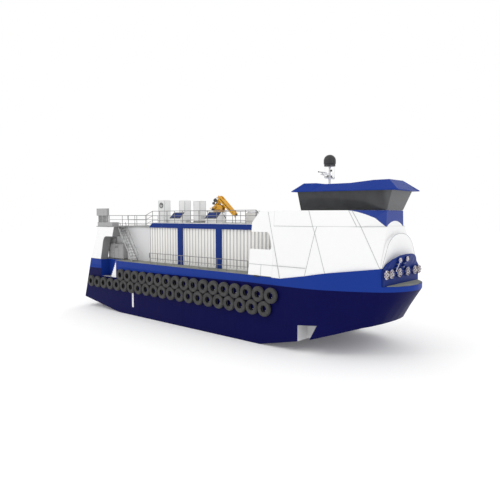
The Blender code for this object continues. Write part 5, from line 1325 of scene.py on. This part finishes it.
# hook below the tip
b.tube([(TP.x, 0, 8.73), (TP.x + 0.055, 0, 8.72), (TP.x + 0.075, 0, 8.745), (TP.x + 0.070, 0, 8.80)], [0.020, 0.018, 0.014, 0.008], 10, 2)
b.object("outer_boom_detail", body="outer_boom", slot="crane_paint", smooth_angle=35)

# gland nuts of the two cylinders
for body, a, c, share, r in (("lift_cylinder", Vector((14.98, 0, 9.40)), Vector((14.722, 0, 9.902)), 0.80, 0.060),
                             ("fold_cylinder", Vector((14.220, 0, 9.812)), Vector((14.729, 0, 10.506)), 0.66, 0.050)):
    b = Build(M["dark"], M["stainless"])
    e = (c - a).normalized()
    L = (c - a).length
    b.lathe(a + e * (L * share - 0.045), e, ((r - 0.004, 0.0), (r + 0.008, 0.002), (r + 0.008, 0.036), (r - 0.004, 0.042)), 20, 0)
    b.lathe(a + e * 0.07, e, ((r - 0.004, 0.0), (r + 0.006, 0.003), (r + 0.006, 0.020), (r - 0.004, 0.023)), 20, 0)
    b.object(body + "_glands", body=body, slot="dark_fitting", smooth_angle=35)

# ------------------------------------------------------------------------ mast
b = Build(M["light"], M["dark"], M["stainless"], M["galv"], M["orange"])
MX = 25.65
b.box((MX - 0.22, -0.22, 10.9805), (MX + 0.22, 0.22, 11.000))
for dx in (-0.17, 0.17):
    for dy in (-0.17, 0.17):
        b.cyl((MX + dx, dy, 11.0), (MX + dx, dy, 11.022), 0.016, 6, 2)
b.lathe((MX, 0, 11.0), (0, 0, 1), ((0.0, 0.0), (0.105, 0.0), (0.088, 0.05), (0.078, 0.60), (0.062, 1.18), (0.085, 1.20), (0.085, 1.2797), (0.0, 1.2797)), 24)
b.box((MX - 0.035, -0.62, 11.425), (MX + 0.035, 0.62, 11.455))
b.box((MX - 0.045, -0.62, 11.455), (MX + 0.045, 0.62, 11.50))
b.box((24.93, -0.07, 11.735), (MX, 0.07, 11.79))
b.bar((25.05, 0, 11.73), (MX - 0.06, 0, 11.50), 0.05, 0.035, 0)
for y, h in ((-0.60, 0.70), (-0.38, 0.34), (0.40, 0.46), (0.60, 0.82)):
    b.cyl((MX, y, 11.50), (MX, y, 11.58), 0.022, 12, 1)
    b.tube([(MX, y, 11.58), (MX, y, 11.50 + h)], [0.010, 0.005], 8, 0)
for y in (-0.22, 0.22):
    b.lathe((MX, y, 11.50), (0, 0, 1), ((0.0, 0.0), (0.055, 0.0), (0.055, 0.03), (0.045, 0.035), (0.045, 0.12), (0.060, 0.125), (0.060, 0.15), (0.0, 0.165)), 20, 1)
b.lathe((MX + 0.10, 0, 11.98), (1, 0, 0), ((0.0, -0.02), (0.055, -0.02), (0.075, 0.06), (0.068, 0.065), (0.0, 0.04)), 20, 1)
b.object("mast_fittings", replaces="mast", slot="white_paint", bevel=0.003, segments=1, smooth_angle=35)

b = Build(M["dome"], M["stainless"])
prof = [(0.0, 0.41)] + [(0.425 * sin(pi / 2 * k / 12), 0.41 * cos(pi / 2 * k / 12)) for k in range(1, 13)]
prof += [(0.425, -0.20), (0.422, -0.235), (0.400, -0.250), (0.386, -0.262), (0.392, -0.300), (0.392, -0.395), (0.0, -0.400)]
b.lathe((MX, 0, 12.68), (0, 0, 1), prof, 40, 0)
for k in range(8):
    a0 = 2 * pi * k / 8
    q = Vector((MX, 0, 12.33)) + Vector((cos(a0), sin(a0), 0)) * 0.390
    b.cyl(q, q + Vector((cos(a0), sin(a0), 0)) * 0.012, 0.012, 8, 1)
b.object("satellite_dome", replaces="mast_dome", slot="dark_fitting", smooth_angle=40)

b = Build(M["light"], M["dark"])
RX, RZ = 25.05, 11.86
sec = [(0.055 * cos(2 * pi * k / 12), 0.042 * sin(2 * pi * k / 12) + 0.047) for k in range(12)]
b.prism([(RX + u, RZ + v) for u, v in sec], "XZ", -0.49, 0.49)
for s in (-1, 1):
    b.lathe((RX, s * 0.488, RZ + 0.047), (0, s, 0), ((0.046, 0.0), (0.044, 0.006), (0.030, 0.011), (0.0, 0.012)), 16, 1)
b.lathe((RX, 0, RZ - 0.062), (0, 0, 1), ((0.0, 0.0), (0.050, 0.0), (0.050, 0.020), (0.060, 0.035), (0.060, 0.055), (0.040, 0.070), (0.0, 0.070)), 24, 0)
b.object("radar_scanner_bar", body="radar_scanner", replaces="radar_scanner", slot="white_paint", smooth_angle=40)

# ----------------------------------------------------------------------- doors


def x_door(name, body, x, y0, y1, z0, z1, hinge_y, port, slot="white_paint"):
    """A steel door in a wall that faces aft: panel, dished press, window, dogs and hinges."""
    b = Build(M["white"], M["stainless"], M["screen"], M["dark"])
    b.box((x + 0.006, y0, z0), (x + 0.044, y1, z1))
    b.box((x, y0 + 0.035, z0 + 0.035), (x + 0.05, y1 - 0.035, z1 - 0.035))
    b.box((x - 0.004, y0 + 0.10, z0 + 0.12), (x + 0.054, y1 - 0.10, z0 + 0.85))
    ym = (y0 + y1) / 2
    b.box((x - 0.006, ym - 0.17, z1 - 0.62), (x + 0.056, ym + 0.17, z1 - 0.18), 3)
    b.box((x - 0.008, ym - 0.14, z1 - 0.59), (x + 0.058, ym + 0.14, z1 - 0.21), 2)
    s = 1 if hinge_y > ym else -1
    for k in (0.14, 0.5, 0.86):
        z = lerp(z0, z1, k)
        b.cyl((x - 0.004, ym + s * ((y1 - y0) / 2 - 0.012), z - 0.06), (x - 0.004, ym + s * ((y1 - y0) / 2 - 0.012), z + 0.06), 0.011, 10, 1)
    hy, hz = ym - s * ((y1 - y0) / 2 - 0.075), (z0 + z1) / 2
    for xx, dx in ((x, -0.030), (x + 0.05, 0.030)):
        b.cyl((xx, hy, hz), (xx + dx, hy, hz), 0.020, 12, 1)
        b.tube([(xx + dx * 0.8, hy, hz), (xx + dx * 0.8, hy + s * 0.12, hz)], 0.010, 8, 1)
    b.object(name, body=body, replaces=body, slot=slot, bevel=0.004, segments=2, smooth_angle=35)


for tag, s in SIDES:
    y_in = s * (3.60 - 0.36 + 0.012)
    y_out = s * (3.60 + 0.36 - 0.012)
    x_door("house_door_panel_" + tag, "house_door_" + tag, 23.888, min(y_in, y_out), max(y_in, y_out), 4.862, 6.738, y_in, True)
x_door("aft_door_panel", "aft_door", 2.288, -0.408, 0.408, 4.78, 6.78, -0.408, True)
x_door("wheelhouse_door_panel", "wheelhouse_door", 25.143, -0.368, 0.368, 8.24, 10.14, -0.368, True)

# ------------------------------------------------------------ wheelhouse inside
b = Build(M["dark"], M["screen"], M["stainless"], M["light"])
CONSOLE = [(29.30, 8.142), (29.95, 8.142), (29.95, 9.30), (29.72, 9.42), (29.20, 9.12), (29.20, 9.02), (29.30, 8.98)]
b.prism(CONSOLE, "XZ", -1.00, 1.00)
slope = Vector((0.52, 0, 0.30)).normalized()
up = Vector((-slope.z, 0, slope.x))
for k, y in enumerate((-0.78, -0.36, 0.06, 0.48, 0.80)):
    w = 0.17 if k < 4 else 0.11
    c = Vector((29.50, y, 9.293)) + up * 0.006
    v = [c + slope * a1 + Vector((0, b1, 0)) for a1, b1 in ((-0.13, -w), (-0.13, w), (0.13, w), (0.13, -w))]
    v += [q + up * 0.012 for q in v]
    b.add(v, ((3, 2, 1, 0), (4, 5, 6, 7), (0, 1, 5, 4), (1, 2, 6, 5), (2, 3, 7, 6), (3, 0, 4, 7)), 1 if k < 4 else 3)
for k in range(6):
    y = -0.9 + 0.36 * k
    q = Vector((29.262, y, 9.156)) + up * 0.004
    b.cyl(q, q + up * 0.03, 0.016, 12, 2)
for k in range(3):
    y0 = -0.96 + 0.64 * k
    b.box((29.290, y0 + 0.03, 8.22), (29.300, y0 + 0.61, 8.92), 3)
    b.cyl((29.288, y0 + 0.54, 8.6), (29.262, y0 + 0.54, 8.6), 0.014, 10, 2)
b.object("helm_console_detail", replaces="helm_console", slot="dark_fitting", bevel=0.004, segments=2, smooth_angle=35)

b = Build(M["stainless"], M["dark"])
b.lathe((28.30, 0, 8.1405), (0, 0, 1), ((0.0, 0.0), (0.245, 0.0), (0.240, 0.02), (0.080, 0.05), (0.055, 0.07), (0.055, 0.40), (0.075, 0.42), (0.0, 0.42)), 28, 0)
b.box((28.14, -0.20, 8.560), (28.50, 0.20, 8.585), 1)
for s in (-1, 1):
    b.tube([(28.10, s * 0.235, 8.72), (28.12, s * 0.245, 8.86), (28.16, s * 0.245, 8.90), (28.44, s * 0.245, 8.90)], 0.016, 10, 1)
b.bar((28.10, 0, 8.60), (28.03, 0, 9.00), 0.22, 0.02, 1, up=(0, 1, 0))
b.object("helm_chair_frame", replaces="helm_chair", slot="dark_fitting", bevel=0.003, segments=1, smooth_angle=40)


def cushion(name, centre, size, tilt, body="barge"):
    """A rounded pad with piping-like corners and a slight crown."""
    bm = bmesh.new()
    bmesh.ops.create_cube(bm, size=1.0)
    bmesh.ops.scale(bm, vec=size, verts=bm.verts)
    bmesh.ops.subdivide_edges(bm, edges=bm.edges, cuts=9, use_grid_fill=True)
    hx, hy, hz = (c / 2 for c in size)
    for v in bm.verts:
        k = (1 - (v.co.x / hx) ** 2) * (1 - (v.co.y / hy) ** 2)
        for ax, h in (("x", hx), ("y", hy), ("z", hz)):
            c = getattr(v.co, ax)
            setattr(v.co, ax, c)
        r = 0.35 * hz
        q = Vector((max(-hx + r, min(hx - r, v.co.x)), max(-hy + r, min(hy - r, v.co.y)), max(-hz + r, min(hz - r, v.co.z))))
        d = v.co - q
        if d.length > 1e-6:
            v.co = q + d.normalized() * r
        v.co.z += 0.06 * hz * k * (1 if v.co.z > 0 else 0)
    turn = Matrix.Rotation(tilt, 4, "Y")
    for v in bm.verts:
        v.co = turn @ v.co + Vector((centre[0] + MIDSHIP, centre[1], centre[2]))
    me = bpy.data.meshes.new(name)
    bm.to_mesh(me)
    bm.free()
    me.materials.append(M["seat"])
    me.shade_smooth()
    o = bpy.data.objects.new(name, me)
    scene.collection.objects.link(o)
    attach(o, body)
    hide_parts("helm_chair")
    return o


cushion("helm_seat_cushion", (28.36, 0, 8.645), (0.44, 0.42, 0.10), 0.0)
cushion("helm_back_cushion", (28.085, 0, 9.07), (0.09, 0.42, 0.62), -0.10)

# ------------------------------------------------------- small outside fittings
b = Build(M["dark"], M["stainless"], M["hose"])
for s in (-1, 1):
    # roller fairlead on the side, hinged black plate
    for x in (22.50, 22.75):
        b.cyl((x, s * 4.26, 4.752), (x, s * 4.26, 4.90), 0.045, 16)
        b.lathe((x, s * 4.26, 4.90), (0, 0, 1), ((0.045, 0.0), (0.060, 0.004), (0.060, 0.022), (0.0, 0.028)), 16)
    b.box((22.38, s * 4.26 - 0.06, 4.751), (22.87, s * 4.26 + 0.06, 4.765))
    b.sbox(22.41, 22.84, 4.351, 4.40, 4.66, 4.745, s)
    for x in (22.47, 22.62, 22.78):
        b.cyl((x, s * 4.40, 4.70), (x, s * 4.425, 4.70), 0.030, 14)
b.object("side_fairleads", slot="dark_fitting", bevel=0.003, segments=1, smooth_angle=35)

# --------------------------------------------------------- camera and lights
cam = bpy.data.cameras.new("camera")
cam.sensor_width = 36.0
cam.lens = 35.215
cam.clip_end = 2000
cam_obj = bpy.data.objects.new("camera", cam)
cam_obj.location = (28.43, -29.59, 8.77)
cam_obj.rotation_euler = Vector((-0.6638, 0.7447, -0.0682)).to_track_quat("-Z", "Y").to_euler()
scene.collection.objects.link(cam_obj)
scene.camera = cam_obj

world = bpy.data.worlds.new("studio")
scene.world = world
world.use_nodes = True
bg = world.node_tree.nodes["Background"]
bg.inputs["Color"].default_value = (1.0, 1.0, 1.0, 1.0)
bg.inputs["Strength"].default_value = 1.0


def area(name, loc, target, size, power, colour=(1, 1, 1)):
    light = bpy.data.lights.new(name, "AREA")
    light.shape = "DISK"
    light.size = size
    light.energy = power
    light.color = colour
    o = bpy.data.objects.new(name, light)
    o.location = loc
    o.rotation_euler = (Vector(target) - Vector(loc)).to_track_quat("-Z", "Y").to_euler()
    scene.collection.objects.link(o)
    return o


area("key", (-14, -46, 44), (0, 0, 5), 26, 3600)
area("fill", (52, -8, 26), (4, 0, 6), 24, 1500)
area("back", (-34, 36, 34), (0, 0, 6), 26, 1800)

floor = Build(paint("floor_matt_white", (0.94, 0.94, 0.94), 0.9, 0.05, 0.004, 0.0, wave=0.0005))
N = 60
floor_pts = [(-260 + 520 * i / N, -260 + 520 * j / N, -0.004) for j in range(N + 1) for i in range(N + 1)]
floor.add(floor_pts, [(j * (N + 1) + i, j * (N + 1) + i + 1, (j + 1) * (N + 1) + i + 1, (j + 1) * (N + 1) + i)
                      for j in range(N) for i in range(N)])
me = bpy.data.meshes.new("studio_floor")
me.from_pydata(floor.v, [], floor.f)
floor.mats[0].node_tree.nodes["Principled BSDF"].inputs["Emission Color"].default_value = (1, 1, 1, 1)
floor.mats[0].node_tree.nodes["Principled BSDF"].inputs["Emission Strength"].default_value = 0.10
me.materials.append(floor.mats[0])
floor_obj = bpy.data.objects.new("studio_floor", me)
scene.collection.objects.link(floor_obj)
